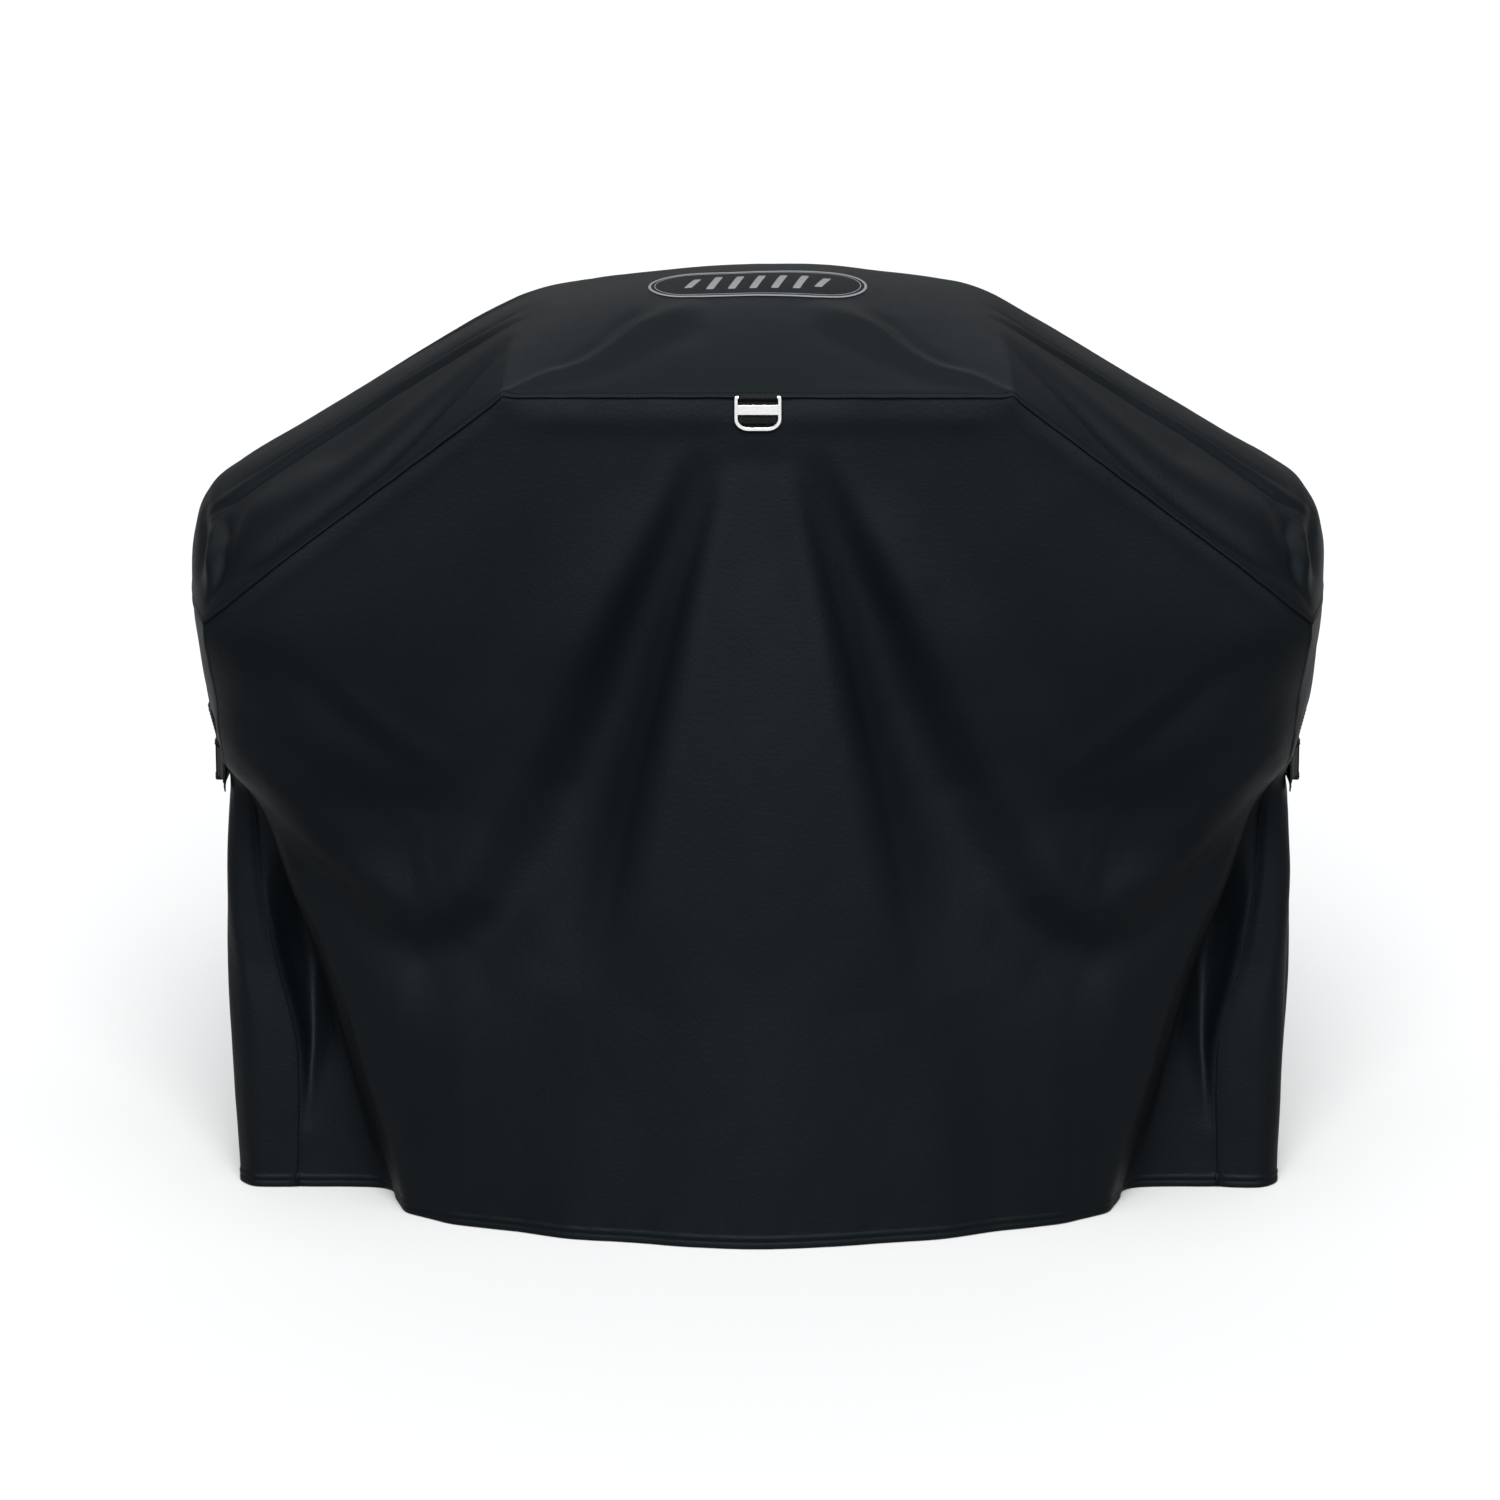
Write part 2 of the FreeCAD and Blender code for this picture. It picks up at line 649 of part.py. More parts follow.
def prong(label, side):
    # side +1: local +y prong. It bends about (2.8, side * pivot).
    b = new_body(label)
    piv = size("prong_pivot")
    pts = []
    for k in range(0, 9):
        a = math.radians(-90.0 + 180.0 * k / 8)
        pts.append((2.8 + 2.0 * math.cos(a), piv + 2.0 * math.sin(a)))
    pts += [(-5.4, piv + 2.0), (-5.4, WID - 1.2), (-9.0, WID - 0.9), (-12.6, WID - 2.4),
            (-14.4, piv + 2.4), (-17.2, piv + 0.6), (-17.2, piv - 1.2), (-15.0, piv - 2.0)]
    if side < 0:
        pts = [(x, -y) for x, y in reversed(pts)]
    sk = new_sketch(b, "XY_Plane", label + "_outline", 6.0 - size("prong_thick") / 2.0)
    polygon(sk, pts)
    pad(b, sk, "Sizes.prong_thick", label + "_pad")
    return b


# ---------------------------------------------------------- straps, handles


def side_face(y, z0, z1):
    # outermost X of the gusset at one Y over a band of heights
    best = 0.0
    for k in range(7):
        z = (z0 + (z1 - z0) * k / 6.0) / KZ
        lo, hi = -1.0, 0.0
        target = -abs(y) / KY
        for _ in range(40):
            m = (lo + hi) / 2
            if gusset_point(m, z)[1] < target:
                lo = m
            else:
                hi = m
        best = max(best, gusset_point((lo + hi) / 2, z)[0] * KX)
    return best


WT = size("web_thick")
Z0, Z1 = LEVEL - size("web_width") / 2, LEVEL + size("web_width") / 2
# outermost face of the cloth over the strap's band of heights
FACE = [(y, side_face(y, Z0, Z1)) for y in (0, 30, 45, 60, 75, 90, 100, 108)]


def face_x(y):
    return smooth([p[0] for p in FACE], [p[1] for p in FACE], abs(y))


def lie(y, extra=0.0):
    return face_x(y) + 0.45 + WT / 2 + extra - BASE


def wrap(cx, cy, r, a):
    # a turn round a flat bar: a circle drawn out towards its corners
    c, d = math.cos(a), math.sin(a)
    return (cx + (r - 0.1) * math.copysign(abs(c) ** 0.62, c),
            cy + r * math.copysign(abs(d) ** 0.62, d))


def fixed_strap_path():
    # (along Y, out) with "out" counted from the buckle's back plane
    path = [(-106, lie(106)), (-98, lie(98)), (-88, lie(88)), (-76, lie(76)), (-66, lie(66)),
            (-56, lie(56)), (-48, max(lie(48), 0.0)), (-41, 1.1), (-35, 1.95), (-30, 2.05)]
    cx, cy, r = -29.4, 5.25, 3.2
    for k in range(1, 12):
        a = math.radians(-90.0 + 180.0 * k / 12)
        path.append(wrap(cx, cy, r, a))
    path += [(-30.8, 8.4), (-34.5, 7.5), (-39.5, 5.2), (-45, 3.1), (-51, 1.6),
             (-58, lie(58) + WT + 0.6), (-66, lie(66) + WT + 0.5)]
    return path


def adjust_strap_path():
    path = [(106, lie(106)), (98, lie(98)), (88, lie(88)), (76, lie(76)), (66, lie(66)), (56, lie(56)),
            (48, lie(48)), (40, lie(40) + 0.4), (33, 1.5), (27, 2.0), (21, 2.05), (17, 2.05)]
    cx, cy, r = 16.4, 5.25, 3.2
    for k in range(1, 12):
        a = math.radians(-90.0 - 180.0 * k / 12)
        path.append(wrap(cx, cy, r, a))
    path += [(17.6, 8.45)]
    return path


def tail_path():
    path = [(19.4, 8.5), (23, 8.55), (28, 8.5), (34, 7.5), (41, 5.8), (49, lie(49) + 3.4),
            (57, lie(57) + WT + 1.2), (66, lie(66) + WT + 0.9), (76, lie(76) + WT + 0.9),
            (86, lie(86) + WT + 1.0), (93, lie(93) + WT + 1.3)]
    return path


def web_body(label, path, s, width="Sizes.web_width", thick=None):
    b = new_body(label)
    outline = ribbon(path, thick or WT)
    sk = new_sketch(b, "XY_Plane", label + "_plan")
    polygon(sk, outline)
    pad(b, sk, width, label + "_pad", symmetric=True)
    # local x along +Y, local y outwards, local z the webbing's width
    m = FreeCAD.Matrix()
    if s > 0:
        m.A11, m.A12, m.A13 = 0, 1, 0
        m.A21, m.A22, m.A23 = 1, 0, 0
        m.A31, m.A32, m.A33 = 0, 0, -1
    else:
        m.A11, m.A12, m.A13 = 0, -1, 0
        m.A21, m.A22, m.A23 = 1, 0, 0
        m.A31, m.A32, m.A33 = 0, 0, 1
    p = FreeCAD.Placement(m)
    p.Base = V(s * BASE, 0, LEVEL)
    b.Placement = p
    return b


HANDLE_Z = 489.0
HANDLE_TILT = 14.0
hh = size("handle_half")


def handle_body(label, s):
    # a band bowed away from the gusset, leaning with it
    b = new_body(label)
    ht = size("handle_thick")
    hz0, hz1 = HANDLE_Z - 19, HANDLE_Z + 19
    path = []
    for k in range(-10, 11):
        y = hh * k / 10.0
        ramp = min(1.0, max(0.0, (1.0 - abs(k) / 10.0) / 0.45))
        bow = 5.4 * (ramp * ramp * (3 - 2 * ramp))
        tilt = math.tan(math.radians(HANDLE_TILT))
        out = 0.0
        for i in range(9):
            z = hz0 + (hz1 - hz0) * i / 8.0
            out = max(out, side_face(y, z, z) - (z - HANDLE_Z) * tilt)
        path.append((y, out + 0.9 + ht / 2 + bow))
    sk = new_sketch(b, "XY_Plane", label + "_plan")
    base = path[10][1]
    polygon(sk, ribbon([(y, o - base) for y, o in path], ht))
    pad(b, sk, "Sizes.handle_width", label + "_pad", symmetric=True)
    m = FreeCAD.Matrix()
    if s > 0:
        m.A11, m.A12, m.A13 = 0, 1, 0
        m.A21, m.A22, m.A23 = 1, 0, 0
        m.A31, m.A32, m.A33 = 0, 0, -1
    else:
        m.A11, m.A12, m.A13 = 0, -1, 0
        m.A21, m.A22, m.A23 = 1, 0, 0
        m.A31, m.A32, m.A33 = 0, 0, 1
    p = FreeCAD.Placement(m)
    lean = FreeCAD.Placement(V(0, 0, 0), FreeCAD.Rotation(V(0, 1, 0), s * HANDLE_TILT))
    q = lean.multiply(p)
    q.Base = V(s * base, 0, HANDLE_Z)
    b.Placement = q
    ca, sa = math.cos(math.radians(HANDLE_TILT)), math.sin(math.radians(HANDLE_TILT))
    # upper outer edge: the line that the handle folds about
    top_x = base + (size("handle_width") / 2) * sa
    top_z = HANDLE_Z + (size("handle_width") / 2) * ca
    print(label, "fold line x %.2f z %.2f" % (s * top_x, top_z))
    return b


for side_name, s in (("left", -1), ("right", 1)):
    parts[side_name + "_handle"] = handle_body(side_name + "_handle", s)
    parts[side_name + "_fixed_strap"] = web_body(side_name + "_fixed_strap", fixed_strap_path(), s)
    parts[side_name + "_adjust_strap"] = web_body(side_name + "_adjust_strap", adjust_strap_path(), s)
    parts[side_name + "_strap_tail"] = web_body(side_name + "_strap_tail", tail_path(), s)
    for nm, maker in (("_buckle_female", female_half), ("_buckle_male", male_half)):
        body = maker(side_name + nm)
        body.Placement = side_placement(s)
        parts[side_name + nm] = body
    for nm, up_side in (("_buckle_prong_upper", 1), ("_buckle_prong_lower", -1)):
        body = prong(side_name + nm, up_side * s)
        body.Placement = side_placement(s)
        parts[side_name + nm] = body

doc.recompute()

# ------------------------------------------------------------------- checks
bad = []
for obj in doc.Objects:
    if "Invalid" in obj.State or "Error" in obj.State:
        bad.append(obj.Name + " " + str(obj.State))
for name, obj in parts.items():
    sh = obj.Shape
    if sh.isNull() or not sh.isValid() or len(sh.Solids) != 1 or sh.Volume <= 0:
        bad.append("%s: null %s valid %s solids %d volume %.1f" % (
            name, sh.isNull(), sh.isValid(), len(sh.Solids), sh.Volume))
if bad:
    raise RuntimeError("; ".join(bad))

os.makedirs("parts", exist_ok=True)
box = FreeCAD.BoundBox()
for name, obj in parts.items():
    obj.Shape.exportStep("parts/%s.step" % name)
    box.add(obj.Shape.BoundBox)
    print("%-28s %10.1f mm3" % (name, obj.Shape.Volume))
print("parts", len(parts))
print("box", [round(v, 2) for v in (box.XMin, box.YMin, box.ZMin, box.XMax, box.YMax, box.ZMax)])
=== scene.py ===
import bpy
import math
import numpy as np
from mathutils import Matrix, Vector


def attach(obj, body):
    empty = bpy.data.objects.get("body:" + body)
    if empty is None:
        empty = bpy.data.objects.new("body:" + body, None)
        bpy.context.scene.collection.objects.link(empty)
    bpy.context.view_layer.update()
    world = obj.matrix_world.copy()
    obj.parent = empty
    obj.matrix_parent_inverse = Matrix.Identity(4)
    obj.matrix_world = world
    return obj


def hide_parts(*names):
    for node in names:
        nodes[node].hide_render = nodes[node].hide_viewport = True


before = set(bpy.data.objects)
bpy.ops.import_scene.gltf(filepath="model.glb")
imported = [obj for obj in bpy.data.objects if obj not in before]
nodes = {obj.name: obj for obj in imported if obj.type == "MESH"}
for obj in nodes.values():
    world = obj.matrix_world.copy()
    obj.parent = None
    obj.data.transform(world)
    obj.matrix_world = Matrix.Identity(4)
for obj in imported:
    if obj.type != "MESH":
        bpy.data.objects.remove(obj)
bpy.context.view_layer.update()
MM = 0.001

# ------------------------------------------------------------ the drape
# The same tables as the CAD source, so that the cloth lies on the frame.
ALONG = [0, 70, 140, 210, 280, 340, 390, 430, 470, 510, 540, 565]
DRAPE = [
    (0, [0, 70, 139, 206, 270, 323, 360, 375, 384, 412, 452, 483],
        [304, 300, 289, 271, 246, 218, 190, 151, 116, 105, 104, 104]),
    (140, [0, 70, 139, 206, 271, 327, 373, 403, 420, 428, 450, 480],
          [298, 295, 287, 269, 248, 224, 201, 171, 138, 113, 103, 102]),
    (262, [0, 70, 139, 207, 273, 329, 376, 412, 443, 461, 477, 505],
          [292, 290, 283, 265, 243, 220, 200, 178, 152, 122, 101, 97]),
    (335, [0, 70, 139, 207, 274, 331, 378, 415, 450, 480, 496, 515],
          [289, 286, 278, 260, 236, 213, 197, 183, 165, 137, 112, 97]),
    (430, [0, 70, 139, 208, 277, 336, 386, 425, 462, 495, 513, 523],
          [285, 282, 271, 248, 224, 213, 209, 207, 200, 178, 150, 118]),
    (470, [0, 70, 140, 209, 278, 337, 387, 427, 465, 502, 528, 545],
          [283, 280, 268, 243, 228, 224, 224, 225, 220, 203, 180, 150]),
    (550, [0, 70, 140, 209, 279, 339, 389, 429, 468, 505, 531, 550],
          [279, 275, 261, 246, 243, 244, 245, 245, 241, 228, 210, 190]),
    (633, [0, 70, 140, 210, 280, 340, 390, 430, 470, 507, 533, 555],
          [274, 270, 261, 256, 256, 257, 258, 259, 259, 256, 250, 238]),
    (750, [0, 70, 140, 210, 280, 340, 390, 430, 470, 507, 533, 555],
          [266, 265, 262, 262, 262, 262, 262, 262, 262, 260, 252, 240]),
    (866, [0, 70, 140, 210, 280, 340, 390, 430, 470, 507, 533, 555],
          [262, 262, 262, 262, 262, 262, 262, 262, 262, 260, 252, 240]),
]
LEVELS = [r[0] for r in DRAPE]
GUSSET_Q = [0.0, 0.25, 0.5, 0.75, 1.0]
GUSSET = [
    (0, [483, 518, 537, 544, 545], [104, 105, 93, 47, 0]),
    (140, [480, 518, 541, 550, 552], [102, 104, 90, 45, 0]),
    (262, [505, 536, 549, 554, 556], [97, 96, 73, 37, 0]),
    (335, [515, 541, 550, 554, 555], [97, 91, 70, 35, 0]),
    (430, [523, 541, 548, 551, 552], [118, 106, 75, 38, 0]),
    (470, [545, 550, 553, 554, 554.5], [150, 115, 76, 38, 0]),
    (550, [550, 561, 569, 573, 574], [190, 150, 100, 50, 0]),
    (633, [555, 568, 577, 582, 583], [238, 190, 125, 60, 0]),
]
STATION = [0, 60, 120, 185, 252, 300, 365, 430, 485, 522, 545, 557, 565]
RIDGE_X = [0, 60, 121, 185, 246, 318, 400, 482, 540, 567, 579, 583, 583]
RIDGE_Z = [956, 954.5, 948, 938, 920, 880, 832, 785, 751, 729, 702, 671, 633]


def slopes(xs, Y):
    h = np.diff(xs)[:, None]
    d = np.diff(Y, axis=0) / h
    m = np.zeros_like(Y)
    m[0], m[-1] = d[0], d[-1]
    a, b, ha, hb = d[:-1], d[1:], h[:-1], h[1:]
    mid = (a * hb + b * ha) / (ha + hb)
    lim = 3 * np.minimum(abs(a), abs(b))
    m[1:-1] = np.where(a * b <= 0, 0.35 * mid, np.clip(mid, -lim, lim))
    return m


def smooth(xs, Y, x):
    """a shape-preserving cubic through (xs, Y), Y one curve or one per point"""
    xs, Y, x = np.asarray(xs, float), np.asarray(Y, float), np.asarray(x, float)
    shape = x.shape
    x = x.ravel()
    each = Y.ndim == 2
    if not each:
        Y = Y[:, None]
    m = slopes(xs, Y)
    i = np.clip(np.searchsorted(xs, x, side="left") - 1, 0, len(xs) - 2)
    n = np.arange(len(x)) if each else np.zeros(len(x), int)
    w = xs[i + 1] - xs[i]
    t = (x - xs[i]) / w
    t2, t3 = t * t, t * t * t
    out = ((2 * t3 - 3 * t2 + 1) * Y[i, n] + (t3 - 2 * t2 + t) * w * m[i, n]
           + (-2 * t3 + 3 * t2) * Y[i + 1, n] + (t3 - t2) * w * m[i + 1, n])
    out = np.where(x <= xs[0], Y[0, n] + m[0, n] * (x - xs[0]), out)
    out = np.where(x >= xs[-1], Y[-1, n] + m[-1, n] * (x - xs[-1]), out)
    return out.reshape(shape)


def drape_point(a, z):
    shape = a.shape
    a, z = a.ravel(), np.asarray(z, float).ravel()
    ay = a * (1 - np.exp(-(a / 32.0) ** 2))
    X = np.array([smooth(ALONG, r[1], a) for r in DRAPE])
    Y = np.array([smooth(ALONG, r[2], ay) for r in DRAPE])
    return smooth(LEVELS, X, z).reshape(shape), smooth(LEVELS, Y, z).reshape(shape)


def seam_level(a):
    return np.where(a <= 252, 866.0, 866 - 233.0 * (a - 252) / 313.0)


def gusset_point(q, z):
    shape = q.shape
    q, z = q.ravel(), z.ravel()
    a = 1 - abs(q)
    X = np.array([smooth(GUSSET_Q, r[1], a) for r in GUSSET])
    Y = np.array([smooth(GUSSET_Q, r[2], a) for r in GUSSET])
    lv = [r[0] for r in GUSSET]
    x, y = smooth(lv, X, z), smooth(lv, Y, z)
    return x.reshape(shape), np.where(q < 0, -y, y).reshape(shape)


def strip_point(a, w):
    fz = seam_level(a)
    fx, fy = drape_point(a, fz)
    rx, rz = smooth(STATION, RIDGE_X, a), smooth(STATION, RIDGE_Z, a)
    aw = abs(w)
    soft = np.sqrt(aw * aw + 0.0144) - 0.12 * (1 - aw)
    rise = np.where(soft < 1, 1 - soft ** 1.7, 0.0)
    return fx + (rx - fx) * (1 - aw ** 2.2), fy * w, fz + (rz - fz) * rise


# ------------------------------------------------------------- fold shapes


def near(A, B, pts):
    """signed distance to a smooth line through pts, and the place along it"""
    pts = np.array(pts, float)
    t = np.r_[0, np.cumsum(np.hypot(*np.diff(pts, axis=0).T))]
    t /= t[-1]
    tt = np.linspace(0, 1, 21)
    P = np.c_[smooth(t, pts[:, 0], tt), smooth(t, pts[:, 1], tt)]
    best, s, k = np.full(A.shape, 1e9), np.zeros(A.shape), np.zeros(A.shape)
    for i in range(len(P) - 1):
        d = P[i + 1] - P[i]
        u = np.clip(((A - P[i, 0]) * d[0] + (B - P[i, 1]) * d[1]) / (d @ d), 0, 1)
        ex, ey = A - P[i, 0] - u * d[0], B - P[i, 1] - u * d[1]
        r = np.hypot(ex, ey)
        c = r < best
        best = np.where(c, r, best)
        s = np.where(c, np.sign(d[0] * ey - d[1] * ex), s)
        k = np.where(c, (i + u) / (len(P) - 1), k)
    return best * s, k


def fold(A, B, pts, amp, width, kind="round", off=0.0):
    """a fold along a line: amp and width (mm) vary from its start to its end"""
    s, k = near(A, B, pts)
    m = smooth(np.linspace(0, 1, len(amp)), amp, k)
    w = np.maximum(smooth(np.linspace(0, 1, len(width)), width, k), 1.0)
    s = (s - off * w) / w
    if kind == "round":
        return m * np.exp(-s * s)
    if kind == "crease":
        return m * np.exp(0.25 - np.sqrt(s * s + 0.0625) * 1.25)
    if kind == "step":      # up on the side of positive distance, down on the other
        return m * s * np.exp(0.5 - 0.5 * s * s)
    return m * 0


def ramp(x, a, b):
    t = np.clip((x - a) / (b - a), 0, 1)
    return t * t * (3 - 2 * t)


def rough(P, scale, seed, stretch=(1, 1, 1), octaves=2):
    """smooth random relief at the points of a grid, about -1 to 1"""
    rnd = np.random.RandomState(1000 + seed)
    flat = P.reshape(-1, 3) / scale * np.array(stretch, float)
    out = np.zeros(len(flat))
    for o in range(octaves):
        for k in range(16):
            d = rnd.normal(size=3)
            d *= (2.4 + 3.0 * rnd.rand()) * 2.1 ** o / np.linalg.norm(d)
            out += 0.36 * 0.45 ** o * np.cos(flat @ d + 6.283 * rnd.rand())
    return out.reshape(P.shape[:-1])


def creases(P, scale, seed, stretch=(1, 1, 1)):
    """fine sharp wrinkles, 0 on flat cloth and up to about 1 on a crease"""
    h = rough(P, scale, seed, stretch, 1)
    k = rough(P, scale * 2.6, seed + 11, stretch, 1)
    return np.exp(-abs(h) / 0.055) * ramp(k, 0.05, 0.35)


# -------------------------------------------------------------- mesh tools


def unit(v):
    return v / np.maximum(np.linalg.norm(v, axis=-1, keepdims=True), 1e-9)


def normals(P, outward):
    n = unit(np.cross(np.gradient(P, axis=0), np.gradient(P, axis=1)))
    mid = n[n.shape[0] // 2, n.shape[1] // 2]
    return n if mid @ np.array(outward, float) > 0 else -n


def roll(P, UV, axis, end, steps, outward, fix=None):
    """adds rows past an edge: steps are (distance on past the edge, distance out), mm"""
    N = normals(P, outward)
    P, UV, N = (np.moveaxis(x, axis, 0) for x in (P, UV, N))
    e, i = (0, 2) if end == 0 else (-1, -3)
    T = unit(P[e] - P[i])
    UT = unit(UV[e] - UV[i])
    rows, urows, run = [], [], 0.0
    last = np.array([0.0, 0.0])
    for t, n in steps:
        run += math.hypot(t - last[0], n - last[1])
        last = np.array([t, n])
        r = P[e] + T * t + N[e] * n
        if fix is not None:
            r = fix(r, t, n)
        rows.append(r)
        urows.append(UV[e] + UT * run)
    if end == 0:
        P = np.concatenate([np.array(rows[::-1]), P])
        UV = np.concatenate([np.array(urows[::-1]), UV])
    else:
        P = np.concatenate([P, np.array(rows)])
        UV = np.concatenate([UV, np.array(urows)])
    return np.moveaxis(P, 0, axis), np.moveaxis(UV, 0, axis)


def make_mesh(name, verts, faces, uvs, mats, body, mat_index=None):
    """a mesh object from mm points; uvs are metres, one per face corner"""
    me = bpy.data.meshes.new(name)
    me.from_pydata((np.asarray(verts, float) * MM).tolist(), [], faces)
    if uvs is not None:
        layer = me.uv_layers.new(name="UVMap")
        layer.data.foreach_set("uv", np.asarray(uvs, np.float32).ravel())
    for m in mats:
        me.materials.append(m)
    if mat_index is not None:
        me.polygons.foreach_set("material_index", np.asarray(mat_index, np.int32))
    me.polygons.foreach_set("use_smooth", [True] * len(me.polygons))
    me.update()
    o = bpy.data.objects.new(name, me)
    bpy.context.scene.collection.objects.link(o)
    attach(o, body)
    return o


def grid_object(name, P, UV, mat, outward, body="cover", solid=1.0):
    r, c = P.shape[:2]
    idx = np.arange(r * c).reshape(r, c)
    q = np.stack([idx[:-1, :-1], idx[1:, :-1], idx[1:, 1:], idx[:-1, 1:]], -1).reshape(-1, 4)
    n = np.cross(np.gradient(P, axis=0), np.gradient(P, axis=1))[r // 2, c // 2]
    if n @ np.array(outward, float) < 0:
        q = q[:, ::-1]
    uv = UV.reshape(-1, 2)[q.ravel()] * MM
    o = make_mesh(name, P.reshape(-1, 3), q.tolist(), uv, [mat], body)
    if solid:
        s = o.modifiers.new("cloth thickness", "SOLIDIFY")
        s.thickness, s.offset = solid * MM, -1.0
    return o


# -------------------------------------------------------------- materials


def material(name, base, rough_=0.5, metallic=0.0, **sockets):
    m = bpy.data.materials.new(name)
    m.use_nodes = True
    b = m.node_tree.nodes["Principled BSDF"]
    b.inputs["Base Color"].default_value = (*base, 1)
    b.inputs["Roughness"].default_value = rough_
    b.inputs["Metallic"].default_value = metallic
    for k, v in sockets.items():
        b.inputs[k.replace("_", " ")].default_value = v
    return m, m.node_tree.nodes, m.node_tree.links, b


def math_node(nt, op, a, b=None):
    n = nt.nodes.new("ShaderNodeMath")
    n.operation = op
    for i, v in enumerate((a, b)):
        if v is None:
            continue
        if isinstance(v, (int, float)):
            n.inputs[i].default_value = v
        else:
            nt.links.new(v, n.inputs[i])
    return n.outputs[0]


def bump(nt, height, strength, distance, normal=None):
    n = nt.nodes.new("ShaderNodeBump")
    n.inputs["Strength"].default_value = strength
    n.inputs["Distance"].default_value = distance
    nt.links.new(height, n.inputs["Height"])
    if normal is not None:
        nt.links.new(normal, n.inputs["Normal"])
    return n.outputs["Normal"]


def cloth_material(name, base, pitch=0.00085, rough_=0.62):
    """coated plain-weave polyester: fine crossed yarns under a thin coating"""
    m, N, L, b = material(name, base, rough_, Specular_IOR_Level=0.048)
    b.inputs["Specular Tint"].default_value = (0.70, 0.88, 1.0, 1)
    nt = m.node_tree
    uv = N.new("ShaderNodeTexCoord").outputs["UV"]
    sep = N.new("ShaderNodeSeparateXYZ")
    L.new(uv, sep.inputs[0])
    k = math.pi / pitch
    su = math_node(nt, "SINE", math_node(nt, "MULTIPLY", sep.outputs[0], k))
    sv = math_node(nt, "SINE", math_node(nt, "MULTIPLY", sep.outputs[1], k))
    weave = math_node(nt, "MULTIPLY", su, sv)
    yarn = math_node(nt, "ABSOLUTE", weave)
    fine = N.new("ShaderNodeTexNoise")
    fine.inputs["Scale"].default_value = 900
    fine.inputs["Detail"].default_value = 3
    L.new(uv, fine.inputs["Vector"])
    grain = N.new("ShaderNodeTexNoise")
    grain.inputs["Scale"].default_value = 240
    grain.inputs["Detail"].default_value = 6
    grain.inputs["Roughness"].default_value = 0.62
    L.new(uv, grain.inputs["Vector"])
    wide = N.new("ShaderNodeTexNoise")
    wide.inputs["Scale"].default_value = 7
    wide.inputs["Detail"].default_value = 4
    L.new(uv, wide.inputs["Vector"])
    # a little unevenness of colour and of the coating's gloss
    mix = N.new("ShaderNodeMix")
    mix.data_type = "RGBA"
    mix.inputs["A"].default_value = (*[c * 0.62 for c in base], 1)
    mix.inputs["B"].default_value = (*[c * 1.42 for c in base], 1)
    both = math_node(nt, "ADD", math_node(nt, "MULTIPLY", grain.outputs["Fac"], 0.6),
                     math_node(nt, "MULTIPLY", wide.outputs["Fac"], 0.4))
    L.new(both, mix.inputs["Factor"])
    L.new(mix.outputs["Result"], b.inputs["Base Color"])
    rr = N.new("ShaderNodeMapRange")
    rr.inputs["From Min"].default_value, rr.inputs["From Max"].default_value = 0.3, 0.7
    rr.inputs["To Min"].default_value, rr.inputs["To Max"].default_value = rough_ - 0.05, rough_ + 0.07
    L.new(both, rr.inputs["Value"])
    L.new(rr.outputs["Result"], b.inputs["Roughness"])
    h = math_node(nt, "ADD", math_node(nt, "MULTIPLY", yarn, 0.7),
                  math_node(nt, "MULTIPLY", fine.outputs["Fac"], 0.5))
    n1 = bump(nt, h, 0.35, 0.0002)
    n2 = bump(nt, grain.outputs["Fac"], 0.42, 0.0011, n1)
    L.new(n2, b.inputs["Normal"])
    return m


def webbing_material(name, base, rib=0.0021):
    """narrow woven webbing: ribs across it, with a chevron from edge to edge"""
    m, N, L, b = material(name, base, 0.5, Specular_IOR_Level=0.045)
    nt = m.node_tree
    uv = N.new("ShaderNodeTexCoord").outputs["UV"]
    sep = N.new("ShaderNodeSeparateXYZ")
    L.new(uv, sep.inputs[0])
    across = math_node(nt, "ABSOLUTE", math_node(nt, "SINE", math_node(nt, "MULTIPLY", sep.outputs[1], math.pi / 0.0036)))
    skew = math_node(nt, "MULTIPLY", math_node(nt, "PINGPONG", sep.outputs[1], 0.0036), 0.45)
    run = math_node(nt, "ADD", sep.outputs[0], skew)
    ribs = math_node(nt, "SINE", math_node(nt, "MULTIPLY", run, 2 * math.pi / rib))
    ribs = math_node(nt, "ADD", math_node(nt, "MULTIPLY", ribs, 0.5), 0.5)
    h = math_node(nt, "MULTIPLY", math_node(nt, "POWER", ribs, 0.6), math_node(nt, "POWER", across, 0.35))
    fuzz = N.new("ShaderNodeTexNoise")
    fuzz.inputs["Scale"].default_value = 1500
    L.new(uv, fuzz.inputs["Vector"])
    h = math_node(nt, "ADD", h, math_node(nt, "MULTIPLY", fuzz.outputs["Fac"], 0.25))
    # colour follows the weave's height: painted shade in the grooves between the yarns and a painted highlight on
    # their tops, over one black dye
    mix = N.new("ShaderNodeMix")
    mix.data_type = "RGBA"
    mix.inputs["A"].default_value = (*[c * 0.45 for c in base], 1)
    mix.inputs["B"].default_value = (*[c * 1.35 for c in base], 1)
    L.new(h, mix.inputs["Factor"])
    L.new(mix.outputs["Result"], b.inputs["Base Color"])
    L.new(bump(nt, h, 0.8, 0.0004), b.inputs["Normal"])
    return m


